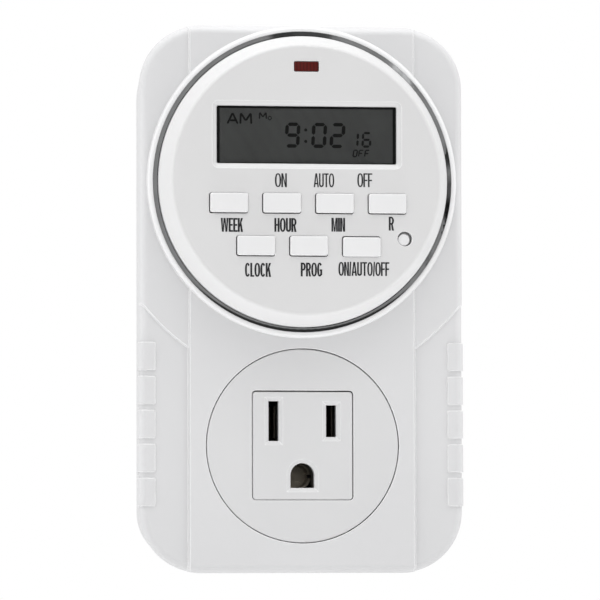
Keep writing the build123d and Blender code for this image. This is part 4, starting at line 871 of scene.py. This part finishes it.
# The room is bright at the sides, dim where the camera stands in front, dark low in front, and
# a little dimmer behind the object
direction = sky_node("ShaderNodeTexCoord").outputs["Generated"]
axes = sky_axes(direction)
front = sky_range(axes["Z"], -0.18, -0.125, 0.05, 0.42)
sides = sky_range(axes["Y"], -0.9, -0.72, front, 1.2)
behind = sky_range(axes["Y"], 0.0, 0.8, 1.0, 0.68)
room = sky_math("MULTIPLY", sides, behind)

# The trim ring mirrors the room in a circle round one direction. Dark and bright cards stand
# there like spokes: angle from the right, half widths of core and soft rim in degrees, and
# brightness
MIRRORED = (0.142, -0.987, 0.074)
SPOKES = [
    (90.5, 10.5, 13.5, 0.28),
    (97.5, 3.0, 5.0, 0.6),
    (50.0, 1.5, 2.6, 2.5),
    (45.3, 1.4, 2.5, 2.5),
    (10.0, 2.0, 6.0, 0.12),
    (-2.5, 3.0, 6.0, 0.35),
    (-10.0, 2.5, 5.0, 0.02),
    (-30.0, 1.0, 3.0, 0.55),
]

offset = sky_node("ShaderNodeVectorMath", operation="SUBTRACT")
feed(offset.inputs[0], direction)
offset.inputs[1].default_value = MIRRORED
length = sky_node("ShaderNodeVectorMath", operation="LENGTH")
feed(length.inputs[0], offset.outputs[0])
across = sky_axes(offset.outputs[0])
turned = sky_math("ARCTAN2", across["Z"], across["X"])
spokes = 1.0
for angle, core, rim, brightness in SPOKES:
    away = sky_math("ABSOLUTE", sky_math("SUBTRACT", turned, math.radians(angle)))
    spoke = sky_range(away, math.radians(core), math.radians(rim), brightness, 1.0)
    spokes = sky_math("MULTIPLY", spokes, spoke)
# The spokes begin outside the place that flat faces mirror and end outside the ring's reach
reach = sky_math(
    "MULTIPLY",
    sky_range(length.outputs["Value"], 0.07, 0.11, 0.0, 1.0),
    sky_range(length.outputs["Value"], 0.4, 0.45, 1.0, 0.0),
)
cards = sky_math("MULTIPLY_ADD", reach, sky_math("SUBTRACT", spokes, 1.0), 1.0)

# The camera itself sees plain white
seen = sky_node("ShaderNodeMixShader")
feed(seen.inputs[0], sky_node("ShaderNodeLightPath").outputs["Is Camera Ray"])
feed(seen.inputs[1], background(sky_math("MULTIPLY", room, cards)))
feed(seen.inputs[2], background(1.0))
feed(sky_node("ShaderNodeOutputWorld").inputs["Surface"], seen.outputs[0])


# Plain pale floor

FLOOR_Z = -0.1  # in metres, below the casing
FLOOR_REACH = 3.0  # from the middle to each side

floor_finish = Shader("floor_paint", (0.92, 0.92, 0.92), 0.8)
floor_finish.vary_roughness(floor_finish.noise(4.0), 0.05)
corners = [
    (x * FLOOR_REACH, y * FLOOR_REACH, FLOOR_Z) for x, y in ((-1, -1), (1, -1), (1, 1), (-1, 1))
]
floor_mesh = bpy.data.meshes.new("floor")
floor_mesh.from_pydata(corners, [], [(0, 1, 2, 3)])
floor_mesh.materials.append(floor_finish.material)
floor = bpy.data.objects.new("floor", floor_mesh)
scene.collection.objects.link(floor)
floor.visible_glossy = False

scene.view_settings.view_transform = "Standard"
scene.view_settings.look = "None"
